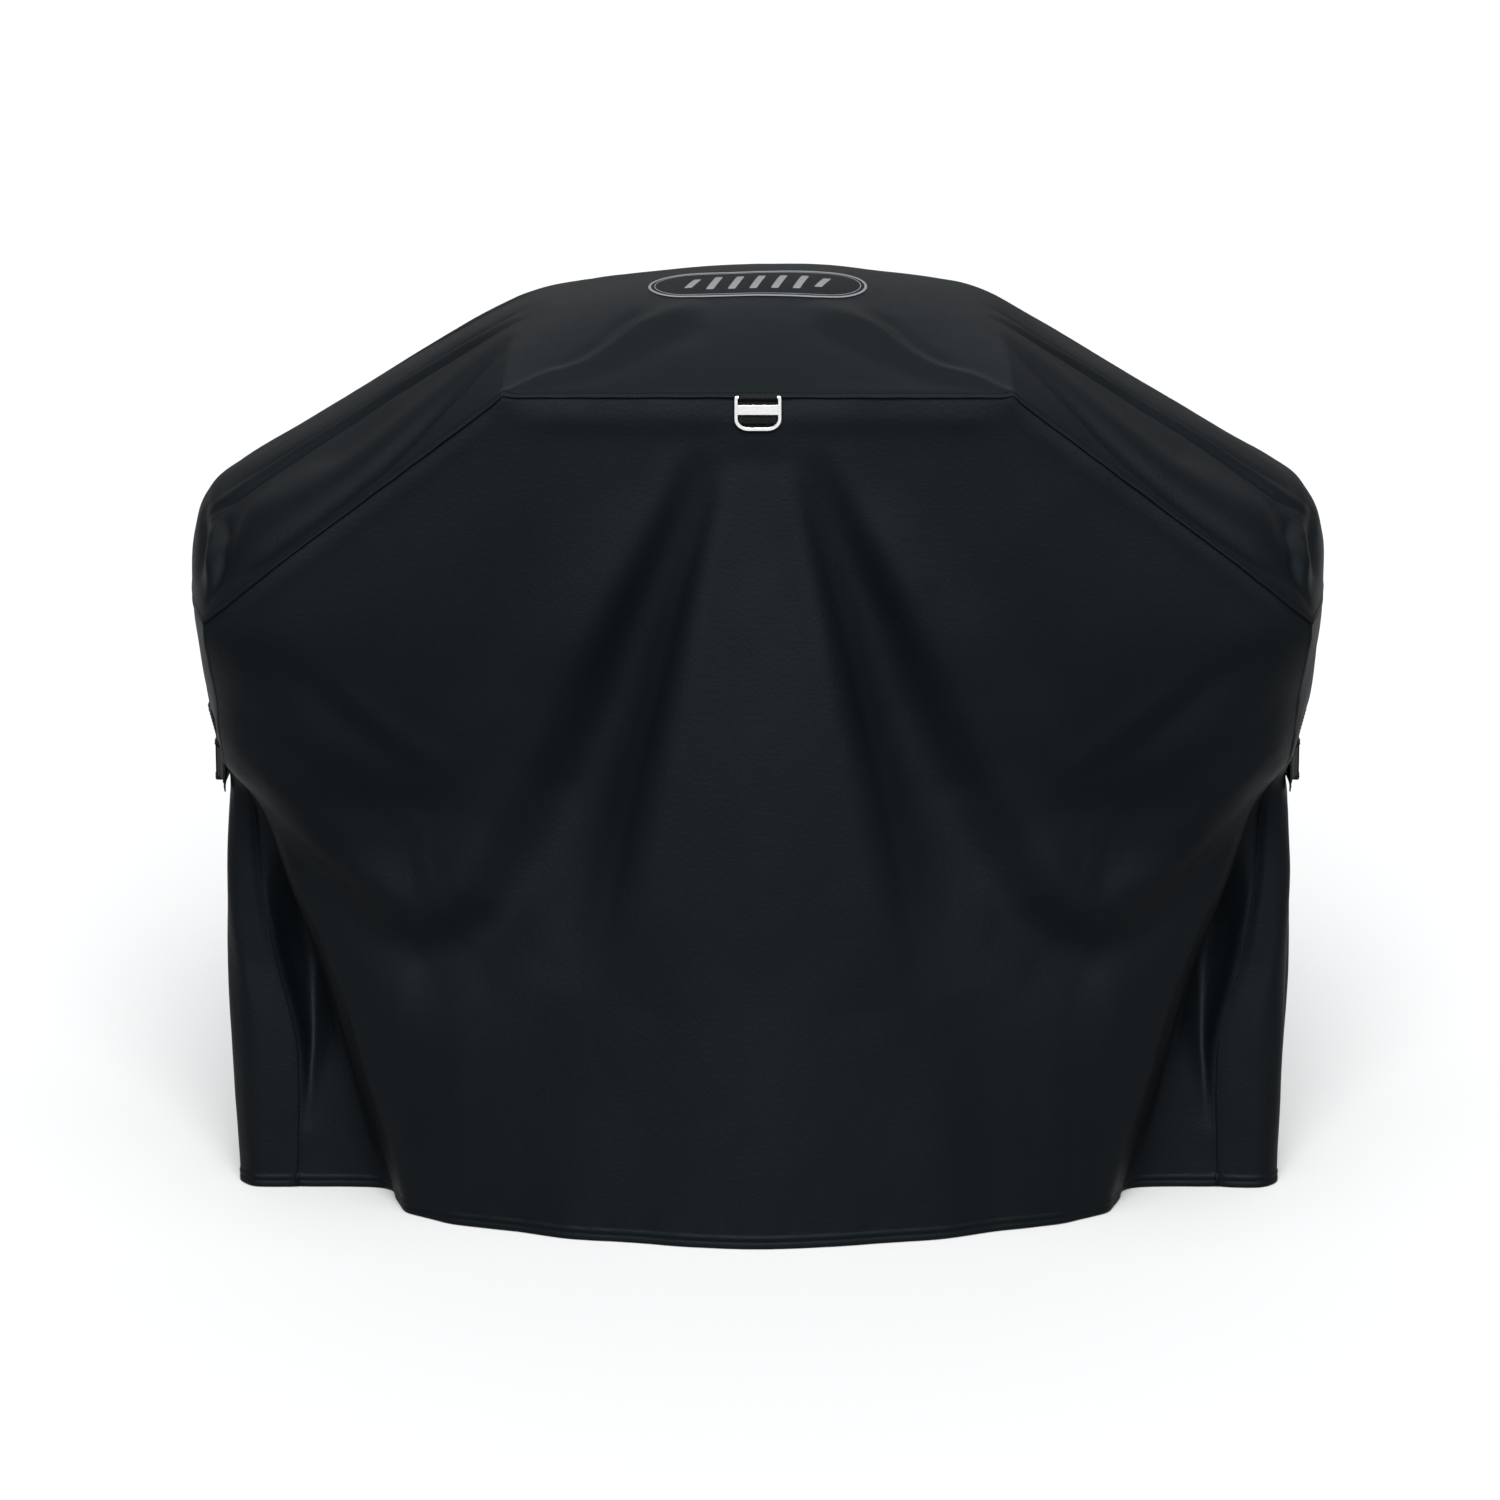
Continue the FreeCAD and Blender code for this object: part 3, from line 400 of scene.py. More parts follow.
def plastic_material(name, base):
    m, N, L, b = material(name, base, 0.42, Specular_IOR_Level=0.07)
    nt = m.node_tree
    obj = N.new("ShaderNodeTexCoord").outputs["Object"]
    grain = N.new("ShaderNodeTexNoise")
    grain.inputs["Scale"].default_value = 2600
    grain.inputs["Detail"].default_value = 2
    L.new(obj, grain.inputs["Vector"])
    smear = N.new("ShaderNodeTexNoise")
    smear.inputs["Scale"].default_value = 60
    L.new(obj, smear.inputs["Vector"])
    rr = N.new("ShaderNodeMapRange")
    rr.inputs["To Min"].default_value, rr.inputs["To Max"].default_value = 0.34, 0.52
    L.new(smear.outputs["Fac"], rr.inputs["Value"])
    L.new(rr.outputs["Result"], b.inputs["Roughness"])
    bev = N.new("ShaderNodeBevel")
    bev.inputs["Radius"].default_value = 0.0005
    L.new(bump(nt, grain.outputs["Fac"], 0.18, 0.0001, bev.outputs["Normal"]), b.inputs["Normal"])
    return m


def metal_material(name, base):
    m, N, L, b = material(name, base, 0.27, 1.0)
    nt = m.node_tree
    obj = N.new("ShaderNodeTexCoord").outputs["Object"]
    mp = N.new("ShaderNodeMapping")
    mp.inputs["Scale"].default_value = (40, 900, 900)
    L.new(obj, mp.inputs["Vector"])
    br = N.new("ShaderNodeTexNoise")
    br.inputs["Scale"].default_value = 3
    br.inputs["Detail"].default_value = 4
    L.new(mp.outputs["Vector"], br.inputs["Vector"])
    rr = N.new("ShaderNodeMapRange")
    rr.inputs["To Min"].default_value, rr.inputs["To Max"].default_value = 0.2, 0.36
    L.new(br.outputs["Fac"], rr.inputs["Value"])
    L.new(rr.outputs["Result"], b.inputs["Roughness"])
    bev = N.new("ShaderNodeBevel")
    bev.inputs["Radius"].default_value = 0.0006
    L.new(bump(nt, br.outputs["Fac"], 0.08, 0.00005, bev.outputs["Normal"]), b.inputs["Normal"])
    return m


def thread_material(name, base, pitch=0.0011, rough_=0.55):
    """twisted thread, lying in satin rows"""
    m, N, L, b = material(name, base, rough_, Specular_IOR_Level=0.045)
    nt = m.node_tree
    uv = N.new("ShaderNodeTexCoord").outputs["UV"]
    sep = N.new("ShaderNodeSeparateXYZ")
    L.new(uv, sep.inputs[0])
    w = math_node(nt, "SINE", math_node(nt, "MULTIPLY",
                  math_node(nt, "ADD", sep.outputs[0], math_node(nt, "MULTIPLY", sep.outputs[1], 0.25)),
                  2 * math.pi / pitch))
    L.new(bump(nt, w, 0.6, 0.00025), b.inputs["Normal"])
    return m


cloth = cloth_material("cover_cloth_weave", (0.00108, 0.00150, 0.00180), 0.00085, 0.53)
webbing = webbing_material("webbing_weave", (0.0014, 0.0017, 0.0019))
handle_web = webbing_material("handle_weave", (0.0014, 0.0017, 0.0019), 0.0024)
plastic = plastic_material("buckle_acetal", (0.0010, 0.0011, 0.0012))
nickel = metal_material("ring_satin_nickel", (0.66, 0.66, 0.65))
black_thread = thread_material("black_thread", (0.0014, 0.0018, 0.0021))
badge_cloth = cloth_material("badge_twill", (0.0014, 0.0018, 0.0021), 0.0012, 0.6)
silver_thread = thread_material("silver_thread", (0.085, 0.088, 0.092))

# ------------------------------------------------------------ cloth panels
LIP = [(0.9, -0.15), (1.7, -0.8), (2.0, -1.8), (1.5, -3.0), (-1.5, -4.0)]
TUCK = [(0.5, -0.7), (0.4, -2.4), (-2.0, -5.5)]
HEM = [(0.8, -0.25), (1.2, -1.1), (0.8, -2.0), (-3.0, -2.3), (-8.0, -2.3), (-14.0, -2.3)]


def panel_folds(a, z, P, back):
    """relief of a front or back panel, mm outward, at |along| a and height z"""
    d = np.zeros(a.shape)
    top = seam_level(a)
    below = top - z
    slope = np.where(a > 252, 0.80, 1.0)
    below = below * slope
    k = 1.0 if not back else 0.9
    shift = 0.0 if not back else 18.0
    A, B = a, z
    # narrow crease from beside the ring, running down and out
    d += fold(A, B, [(38, 800), (65, 708), (95, 594), (125, 474), (145, 378), (165, 250)],
              [0, -3.0, -4.2, -4.4, -3.4, 0], [5, 8, 11, 15, 19, 24], "crease") * k
    d += fold(A, B, [(38, 800), (65, 708), (95, 594), (125, 474), (145, 378), (165, 250)],
              [0, -4.6, -7.6, -9.0, -8.0, 0], [14, 18, 25, 32, 40, 46], "step") * k
    # wide valley down from the seam to a low point under the shelf, and up to its corner
    u = [(60, 815), (86, 738), (122, 654 + shift), (170, 534 + shift), (210, 450), (250, 378),
         (296, 318), (350, 290), (414, 314), (486, 382), (548, 458)]
    wide = [12, 17, 22, 28, 32, 34, 32, 30, 28, 24, 16]
    d += fold(A, B, u, [0, -5.0, -11.0, -14.0, -15.0, -15.0, -13.0, -11.0, -9.0, -6.0, 0], wide) * k
    d += fold(A, B, u, [0, 4.0, 7.5, 9.5, 11.0, 11.5, 11.0, 9.5, 8.5, 6.0, 0], [1.15 * w for w in wide], "step") * k
    # ridge between the two, and the one outside the valley
    d += fold(A, B, [(60, 770), (100, 660), (155, 540), (205, 430), (245, 320), (270, 210)],
              [0, 1.0, 1.5, 1.5, 1.0, 0], [12, 18, 26, 36, 44, 50]) * k
    d += fold(A, B, [(118, 770), (190, 655), (262, 545), (318, 462), (350, 400)],
              [0, 3.0, 5.0, 4.5, 0], [22, 30, 34, 30, 24]) * k
    # the taut ridge below it
    d += fold(A, B, [(556, 430), (500, 330), (435, 285), (370, 262), (310, 258), (260, 262)],
              [0, 3.0, 3.5, 3.0, 1.5, 0], [14, 22, 36, 50, 60, 64]) * k
    # soft folds fanning over the pocket
    d += fold(A, B, [(440, 588), (400, 545), (352, 505), (300, 474)],
              [0, 3.2, 3.8, 0], [12, 15, 17, 15]) * k
    d += fold(A, B, [(530, 610), (460, 575), (400, 520), (345, 478)],
              [0, -3.4, -4.2, 0], [14, 18, 20, 18]) * k
    d += fold(A, B, [(535, 545), (480, 500), (420, 455), (372, 420)],
              [0, -3.2, -3.6, 0], [12, 16, 18, 18]) * k
    d += fold(A, B, [(545, 505), (490, 455), (440, 415), (400, 392)],
              [0, 2.6, 3.0, 0], [10, 14, 16, 16]) * k
    # swell down the middle, and low soft lobes toward the hem
    d += 6.5 * np.exp(-(a / (34 + 62 * (1 - z / 866))) ** 2) * ramp(-z, -850, -560)
    d += fold(A, B, [(95, 330), (112, 200), (125, 90), (132, 0)], [0, -1.2, -1.8, -2.0], [24, 30, 34, 36])
    d += fold(A, B, [(215, 300), (232, 190), (246, 90), (255, 0)], [0, -1.6, -2.6, -3.2], [24, 28, 30, 30])
    d += fold(A, B, [(175, 260), (185, 150), (192, 60), (196, 0)], [0, 0.8, 1.2, 1.4], [22, 24, 26, 28])
    d += fold(A, B, [(305, 215), (318, 120), (326, 50), (330, 0)], [0, 2.4, 3.6, 3.6], [18, 22, 24, 24])
    # the cloth doubles in on itself between the front lobe and the side seam
    tuck = [(556, 434), (550, 380), (545, 320), (543, 255), (549, 190), (556, 130), (562, 60)]
    d += ramp(565 - a, 0.0, 11.0) * (
        fold(A, B, tuck, [0, -9.0, -16.0, -18.0, -13.0, -5.0, 0], [7, 12, 17, 20, 16, 10, 8])
        + fold(A, B, tuck, [0, -10.0, -20.0, -24.0, -17.0, -6.0, 0], [6, 9, 12, 14, 11, 8, 7], "crease"))
    # crisp edge where the front lobe turns back
    d += fold(A, B, [(548, 455), (492, 320), (452, 235), (420, 120), (392, 0)],
              [0, 2.2, 2.6, 2.4, 1.6], [7, 9, 10, 11, 12])
    # the cloth starts set back under the seam and rolls out just below it
    edge = np.exp(-(below / 7.0) ** 1.5)
    d -= 1.6 * edge
    d += 1.7 * np.exp(-((below - 24) / 13.0) ** 2) * ramp(-a, -262, -200)
    d += 0.7 * np.exp(-((below - 16) / 9.0) ** 2) * ramp(a, 230, 300)
    # pull of the seam's stitches, and of the ring's tab
    d += 0.25 * np.sin(a / 7.3 + 1.3 * np.sin(a / 31.0)) * np.exp(-below / 16.0)
    d -= 1.8 * np.exp(-(a / 24.0) ** 4 - (below / 30.0) ** 4)
    d += 0.8 * np.exp(-((below - 44) / 12.0) ** 2 - (a / 34.0) ** 2)
    d -= 0.5 * np.exp(-((below - 68) / 14.0) ** 2 - (a / 40.0) ** 2)
    d += 1.4 * np.exp(-((a - 252) ** 2 + below ** 2) / 110.0)
    # side seam: a shallow groove
    d -= 1.0 * np.exp(-((565 - a) / 7.0) ** 1.6)
    d += 0.35 * np.sin(z / 8.1 + 1.2 * np.sin(z / 37.0)) * np.exp(-(565 - a) / 14.0)
    # hem: a folded band with one row of stitches sunk in it
    d += 0.9 * (1 - ramp(z, 11.0, 14.0)) - 0.8 * np.exp(-((z - 7.0) / 1.5) ** 2)
    d += 0.35 * np.sin(a / 6.1 + 1.5 * np.sin(a / 29.0)) * np.exp(-abs(z - 14) / 9.0)
    return d


def rest_relief(P, seed, body_scale=1.0):
    """small undulations that every hanging panel has"""
    d = 0.95 * rough(P, 150.0, seed, (1, 1, 0.42)) * body_scale
    d += 0.13 * rough(P, 40.0, seed + 3, (1, 1, 0.6)) * body_scale
    return d


def level_hem(r, t, n):
    r = r.copy()
    r[..., 2] = np.maximum(np.where(t < 0, 1.2 - t, 1.2 - t), 0.0)
    return r


def build_panel(name, side, seed):
    full = 565.0
    n = 281
    t = np.linspace(-1, 1, n)
    U = full * (1.22 * t - 0.22 * t ** 3)
    a = abs(U)
    top = seam_level(a) - 0.6
    low = np.arange(1.2, 17.0, 1.05)
    tail = np.array([30, 27, 24, 21, 18, 15.5, 13, 10.5, 8.5, 6.5, 4.8, 3.2, 1.6, 0.0])
    m = 176
    Z = np.concatenate([
        np.repeat(low[None, :], n, 0),
        17.5 + (top[:, None] - 30 - 17.5) * (np.arange(m) / m)[None, :],
        top[:, None] - tail[None, :]], 1)
    A = np.repeat(a[:, None], Z.shape[1], 1)
    x, y = drape_point(A, Z)
    P = np.stack([x * np.sign(U)[:, None], side * y, Z], -1)
    out = (0, side, 0)
    N = normals(P, out)
    d = panel_folds(A, Z, P, side > 0)
    keep = 1 - 0.7 * np.exp(-(seam_level(A) - Z) / 12.0)
    d += rest_relief(P, seed) * keep
    if side > 0:
        # the back has no ring: fewer, looser folds that aren't mirrored
        S = np.repeat(U[:, None], Z.shape[1], 1)
        d += fold(S, Z, [(-330, 700), (-215, 560), (-120, 380), (-60, 180)], [0, 4, 5, 0], [20, 30, 36, 40])
        d += fold(S, Z, [(260, 760), (190, 600), (60, 420), (-10, 240)], [0, -4, -5, 0], [18, 26, 32, 40])
        d += fold(S, Z, [(420, 640), (330, 520), (290, 380), (300, 200)], [0, 3, 4, 0], [18, 26, 30, 34])
    N[..., 2] *= 0.6
    N = unit(N)
    P = P + N * d[..., None]
    UV = np.stack([np.repeat(U[:, None], Z.shape[1], 1), Z], -1)
    grid = (P.copy(), normals(P, out), A, Z)
    P, UV = roll(P, UV, 1, 0, HEM, out, level_hem)
    P, UV = roll(P, UV, 1, -1, TUCK, out)
    P, UV = roll(P, UV, 0, 0, LIP, out)
    P, UV = roll(P, UV, 0, -1, LIP, out)
    P[..., 2] = np.maximum(P[..., 2], 0.0)
    o = grid_object(name, P, UV, cloth, out)
    return o, grid


def build_gusset(name, s, seed):
    q = np.sin(np.linspace(-1, 1, 103) * math.pi / 2 * 0.62) / math.sin(math.pi / 2 * 0.62)
    low = np.arange(1.2, 17.0, 1.05)
    Z1 = np.concatenate([low, np.linspace(17.5, 632.4, 150)])
    Q, Z = np.meshgrid(q, Z1, indexing="ij")
    x, y = gusset_point(Q, Z)
    P = np.stack([s * x, y, Z], -1)
    out = (s, 0, 0)
    N = normals(P, out)
    # run along the cloth, mm from the middle
    run = np.sign(y) * np.abs(y) + 0.0
    d = np.zeros(Q.shape)
    hang = ramp(-Z, -520, -120)
    for c, amp, w in ((-78, 6.5, 17), (-48, -6.5, 15), (-16, 6.0, 17), (16, -5.5, 15), (47, 6.5, 17), (77, -4.5, 15)):
        line = c + 7.0 * np.sin(Z / 170.0 + c) * s
        d += amp * np.exp(-((run - line) / w) ** 2) * hang
    # strain folds from the handle's ends and from the strap
    for e in (-1, 1):
        d += fold(run, Z, [(e * 92, 492), (e * 120, 545), (e * 160, 600)], [2.6, 2.2, 0], [8, 13, 18])
        d += fold(run, Z, [(e * 84, 462), (e * 60, 380), (e * 52, 260)], [-2.2, -3.0, 0], [9, 13, 18])
        d += fold(run, Z, [(e * 150, 610), (e * 118, 560), (e * 96, 520)], [0, -3.0, 0], [12, 14, 10])
        d += fold(run, Z, [(e * 100, 432), (e * 88, 350), (e * 96, 240)], [1.0, 3.0, 0], [8, 12, 16])
    calm = 1 - 0.9 * np.exp(-((Z - 466) / 52.0) ** 4) * (abs(run) < 200)
    d = d * np.where(abs(run) < 104, calm, 1.0)
    flat = np.exp(-((Z - 466) / 46.0) ** 4)
    d += rest_relief(P, seed, 1.3) * (1 - 0.85 * flat)
    d -= 1.6 * flat * np.exp(-(run / 125.0) ** 6)
    edge = 1 - abs(Q)
    fade = ramp(edge, 0.0, 0.10)
    d = d * fade
    d -= 1.5 * np.exp(-(edge / 0.03) ** 1.4)
    d -= 1.5 * np.exp(-((633 - Z) / 7.0) ** 1.5)
    d += 0.9 * (1 - ramp(Z, 11.0, 14.0)) * fade - 0.8 * np.exp(-((Z - 7.0) / 1.5) ** 2) * fade
    N[..., 2] *= 0.6
    P = P + unit(N) * d[..., None]
    arc = np.cumsum(np.r_[0, np.hypot(np.diff(x[:, 60]), np.diff(y[:, 60]))])
    UV = np.stack([np.repeat(arc[:, None], Z.shape[1], 1), Z], -1)
    grid = (P.copy(), normals(P, out), Q, Z)
    P, UV = roll(P, UV, 1, 0, HEM, out, level_hem)
    P, UV = roll(P, UV, 1, -1, TUCK, out)
    P, UV = roll(P, UV, 0, 0, TUCK, out)
    P, UV = roll(P, UV, 0, -1, TUCK, out)
    P[..., 2] = np.maximum(P[..., 2], 0.0)
    return grid_object(name, P, UV, cloth, out), grid


def strip_folds(a, w, S, front):
    """relief of the strip at |along| a; w from -1 (this side's seam) to 0 (ridge)"""
    B = w * 262.0
    d = np.zeros(a.shape)

    def L(pts, *rest):
        return fold(a, B, [(p, q * 262.0) for p, q in pts], *rest)
    # the long valley just above the sloping seam, and the pillow over it
    v1 = [(250, -0.50), (285, -0.70), (325, -0.82), (370, -0.89), (415, -0.915), (465, -0.92), (510, -0.90), (548, -0.87)]
    d += L(v1, [0, -2.6, -3.6, -4.0, -4.0, -3.8, -3.4, 0], [7, 9, 11, 12, 12, 12, 11, 8])
    v1u = [(p, q + 0.13) for p, q in v1]
    d += L(v1u, [0, 2.0, 3.2, 4.2, 4.6, 4.8, 4.0, 0], [14, 18, 22, 26, 28, 28, 24, 14])
    # twin thin creases along the shoulder, under the ridge
    v2 = [(236, -0.36), (285, -0.37), (340, -0.37), (395, -0.40), (445, -0.44), (490, -0.47), (525, -0.43)]
    d += L(v2, [0, -2.2, -3.0, -3.0, -3.0, -2.8, 0], [5, 6, 7, 8, 8, 8, 6], "crease")
    v3 = [(228, -0.20), (285, -0.25), (345, -0.275), (400, -0.30), (455, -0.32), (510, -0.33)]
    d += L(v3, [0, -1.8, -2.4, -2.4, -2.0, 0], [5, 6, 7, 7, 7, 6], "crease")
    d += L([(p, q + 0.055) for p, q in v2], [0, 1.4, 2.0, 2.2, 2.0, 1.8, 0], [6, 8, 9, 10, 10, 9, 7])
    # bright swelling close to the shoulder's corner
    d += L([(395, -0.64), (440, -0.66), (478, -0.68), (500, -0.66)], [0, 2.6, 3.8, 0], [22, 28, 26, 18])
    # fan of creases at the corner
    d += L([(500, -0.56), (508, -0.72), (522, -0.82), (545, -0.885), (556, -0.94)], [0, -3.0, -3.4, -2.6, 0], [6, 6, 5, 5, 4], "crease")
    d += L([(488, -0.62), (503, -0.78), (527, -0.88)], [0, -2.0, 0], [7, 7, 5], "crease")
    d += L([(514, -0.52), (524, -0.66), (536, -0.80), (548, -0.88)], [0, 3.6, 3.2, 0], [9, 9, 8, 6])
    d += L([(530, -0.34), (536, -0.56), (549, -0.76)], [-1.0, -3.4, 0], [9, 9, 8])
    # the fold that runs up from the seam's corner across the crown
    up = [(252, -0.985), (220, -0.90), (180, -0.82), (150, -0.72), (125, -0.62), (88, -0.53), (52, -0.43)]
    d += L(up, [0.8, 2.0, 2.6, 3.2, 3.6, 3.0, 0], [4, 7, 9, 12, 15, 18, 20])
    d += L([(210, -0.86), (172, -0.77), (150, -0.68), (130, -0.57), (105, -0.47)], [0, -2.0, -2.8, -2.6, 0], [8, 9, 10, 11, 12])
    d += L([(205, -0.94), (165, -0.90), (120, -0.78), (80, -0.68), (50, -0.60)], [0, -1.0, -1.8, -1.8, 0], [8, 10, 14, 16, 18])
    d *= 1.8 if front else 1.15
    d += 1.8 * np.exp(-(a / 46.0) ** 2) * np.exp(-((w + 0.66) / 0.26) ** 2)
    d += 1.6 * np.exp(-((a - 252) ** 2 / 60.0 + ((w + 0.985) * 262) ** 2 / 40.0))
    # seam: stitches pull the strip down beside its edge
    h = (1 + w) * 262.0
    d -= 0.7 * np.exp(-((h - 4.6) / 2.0) ** 2)
    d += 0.18 * np.sin(a / 6.7 + 1.1 * np.sin(a / 27.0)) * np.exp(-h / 12.0)
    return d


def build_strip(name, seed):
    k = np.linspace(0, 565, 1131)
    rx, rz = smooth(STATION, RIDGE_X, k), smooth(STATION, RIDGE_Z, k)
    arc = np.r_[0, np.cumsum(np.hypot(np.diff(rx), np.diff(rz)))]
    half = np.interp(np.linspace(0, arc[-1], 196), arc, k)
    U = np.r_[-half[:0:-1], half]
    run = np.interp(abs(U), k, arc) * np.sign(U)
    near_edge = np.array([0, 1.0, 2.2, 3.4, 4.6, 5.8, 7.2, 9.0, 11.2, 13.6, 16.4]) / 262.0
    inner = np.linspace(near_edge[-1], 1.0, 66)[1:]
    w = -1 + np.r_[near_edge, inner]
    W1 = np.r_[w, -w[-2::-1]]
    A, W = np.meshgrid(abs(U), W1, indexing="ij")
    S = np.repeat(np.sign(U)[:, None], len(W1), 1)
    # the crown is round across its middle
    x, y, z = strip_point(A, W)
    P = np.stack([x * S, y, z], -1)
    out = (0, 0, 1)
    N = normals(P, out)
    front = strip_folds(A, np.minimum(W, 0), S, True)
    rear = strip_folds(A, np.minimum(-W, 0), S, False)
    blend = ramp(W, -0.12, 0.12)
    d = front * (1 - blend) + 0.85 * rear * blend
    # the rear isn't the front's mirror image
    R = np.repeat(U[:, None], len(W1), 1)
    d += fold(R, W * 262, [(-420, 60), (-250, 90), (-60, 150), (60, 200)], [0, 3, 3, 0], [16, 20, 22, 20])
    d += fold(R, W * 262, [(380, 90), (220, 120), (90, 190)], [0, -3, 0], [14, 18, 18])
    d += rest_relief(P, seed, 0.8) * np.minimum(1, ramp(1 - abs(W), 0.0, 0.10) + 0.15)
    end = ramp(565 - A, 0.0, 14.0)
    d = d * (0.15 + 0.85 * end)
    P = P + N * d[..., None]
    UV = np.stack([np.repeat(run[:, None], len(W1), 1), W * 278.0], -1)
    grid = (P.copy(), normals(P, out), R, W)
    P = P + normals(P, out) * 0.5
    P, UV = roll(P, UV, 1, 0, LIP, out)
    P, UV = roll(P, UV, 1, -1, LIP, out)
    P, UV = roll(P, UV, 0, 0, LIP, out)
    P, UV = roll(P, UV, 0, -1, LIP, out)
    return grid_object(name, P, UV, cloth, out), grid, U, W1


front, front_grid = build_panel("front_cloth", -1, 1)
back, back_grid = build_panel("back_cloth", 1, 2)
left, left_grid = build_gusset("left_side_cloth", -1, 3)
right, right_grid = build_gusset("right_side_cloth", 1, 4)
top, top_grid, TOP_U, TOP_W = build_strip("top_cloth", 5)
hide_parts("front_panel")
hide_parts("back_panel")
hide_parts("left_side_panel")
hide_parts("right_side_panel")
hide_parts("top_panel")

# -------------------------------------------------------------- stitching


def sample(grid, i, j):
    """point and normal of a panel's grid at fractional indices"""
    P, N = grid[0], grid[1]
    i, j = np.asarray(i, float), np.asarray(j, float)
    i0 = np.clip(np.floor(i).astype(int), 0, P.shape[0] - 2)
    j0 = np.clip(np.floor(j).astype(int), 0, P.shape[1] - 2)
    fi, fj = (i - i0)[:, None], (j - j0)[:, None]

    def mix(G):
        return ((G[i0, j0] * (1 - fj) + G[i0, j0 + 1] * fj) * (1 - fi)
                + (G[i0 + 1, j0] * (1 - fj) + G[i0 + 1, j0 + 1] * fj) * fi)
    return mix(P), unit(mix(N))


def stitches(name, lines, mat, body, length=3.3, pitch=4.5, radius=0.42, lift=0.12):
    """rows of sewn stitches along lines of (points, normals), mm"""
    V, F, UVs = [], [], []
    sides, rings = 6, ((-0.5, 0.35), (-0.36, 0.9), (0.0, 1.0), (0.36, 0.9), (0.5, 0.35))
    for P, N in lines:
        s = np.r_[0, np.cumsum(np.linalg.norm(np.diff(P, axis=0), axis=1))]
        count = int(s[-1] / pitch)
        for c in range(count):
            mid = (c + 0.5) * s[-1] / count
            p = np.array([np.interp(mid, s, P[:, k]) for k in range(3)])
            e = [np.array([np.interp(mid + h, s, P[:, k]) for k in range(3)]) for h in (-0.5 * length, 0.5 * length)]
            n = unit(np.array([np.interp(mid, s, N[:, k]) for k in range(3)]))
            t = unit(e[1] - e[0])
            b = np.cross(t, n)
            base = len(V)
            for u, r in rings:
                sink = -0.55 * radius * (1 - r)
                for k in range(sides):
                    ang = 2 * math.pi * k / sides
                    V.append(p + t * u * length + n * (lift + sink + radius * r * math.sin(ang)) + b * radius * r * math.cos(ang))
            for g in range(len(rings) - 1):
                for k in range(sides):
                    k2 = (k + 1) % sides
                    F.append((base + g * sides + k, base + g * sides + k2, base + (g + 1) * sides + k2, base + (g + 1) * sides + k))
                    UVs += [(g * 0.8, k), (g * 0.8, k + 1), ((g + 1) * 0.8, k + 1), ((g + 1) * 0.8, k)]
            F.append(tuple(base + k for k in range(sides))[::-1])
            F.append(tuple(base + (len(rings) - 1) * sides + k for k in range(sides)))
            UVs += [(0, 0)] * (2 * sides)
    return make_mesh(name, V, F, np.array(UVs) * MM, [mat], body)


def line_on(grid, i, j):
    i, j = np.broadcast_arrays(np.asarray(i, float), np.asarray(j, float))
    return sample(grid, i, j)


nU, nW = len(TOP_U), len(TOP_W)
span = np.linspace(1, nU - 2, 900)
seam_lines = [line_on(top_grid, span, 4.0), line_on(top_grid, span, nW - 5.0)]
seam_lines += [line_on(top_grid, 3.2, np.linspace(4, nW - 5, 300)), line_on(top_grid, nU - 4.2, np.linspace(4, nW - 5, 300))]
seam_lines = [(p + n * 0.5, n) for p, n in seam_lines]
hem_lines, side_lines = [], []
for g in (front_grid, back_grid):
    ni, nj = g[0].shape[:2]
    hem_lines.append(line_on(g, np.linspace(0, ni - 1, 900), 5.52))
    for i in (1.1, ni - 2.1):
        side_lines.append(line_on(g, i, np.linspace(16, nj - 4, 500)))
for g in (left_grid, right_grid):
    hem_lines.append(line_on(g, np.linspace(3, g[0].shape[0] - 4, 300), 5.52))
thread_a = stitches("seam_stitches", seam_lines + side_lines, black_thread, "cover")
thread_b = stitches("hem_stitches", hem_lines, black_thread, "cover")

# ------------------------------------------------------------ crown patch
HALF_L, HALF_H, MID_W = 111.0, 41.0, -0.245
W_MM = 272.0


def crown(a_mm, v_mm, lift=0.0):
    """point on the crown at a_mm from the middle and v_mm up from the patch's middle"""
    a_mm, v_mm = np.asarray(a_mm, float), np.asarray(v_mm, float)
    i = np.interp(a_mm, TOP_U, np.arange(nU))
    j = np.interp(MID_W + v_mm / W_MM, TOP_W, np.arange(nW))
    p, n = sample(top_grid, i.ravel(), j.ravel())
    lift = np.broadcast_to(np.asarray(lift, float), a_mm.shape).ravel()
    return p + n * lift[:, None]


u = np.linspace(-1, 1, 121)
v = np.sin(np.linspace(-1, 1, 49) * math.pi / 2)
Ub, Vb = np.meshgrid(u, v, indexing="ij")
reach = (HALF_L - HALF_H) + HALF_H * np.sqrt(np.maximum(1 - Vb ** 2, 0))
a_b, v_b = Ub * reach, Vb * HALF_H
inside = HALF_H - np.hypot(np.maximum(abs(a_b) - (HALF_L - HALF_H), 0), v_b)
base_lift = 0.55 + 0.75 * ramp(inside, 0.0, 2.0)
Pb = crown(a_b, v_b, base_lift).reshape(*a_b.shape, 3)
UVb = np.stack([a_b, v_b], -1)
badge = grid_object("crown_patch", Pb, UVb, badge_cloth, (0, 0, 1), "cover", 0.5)
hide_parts("crown_badge")


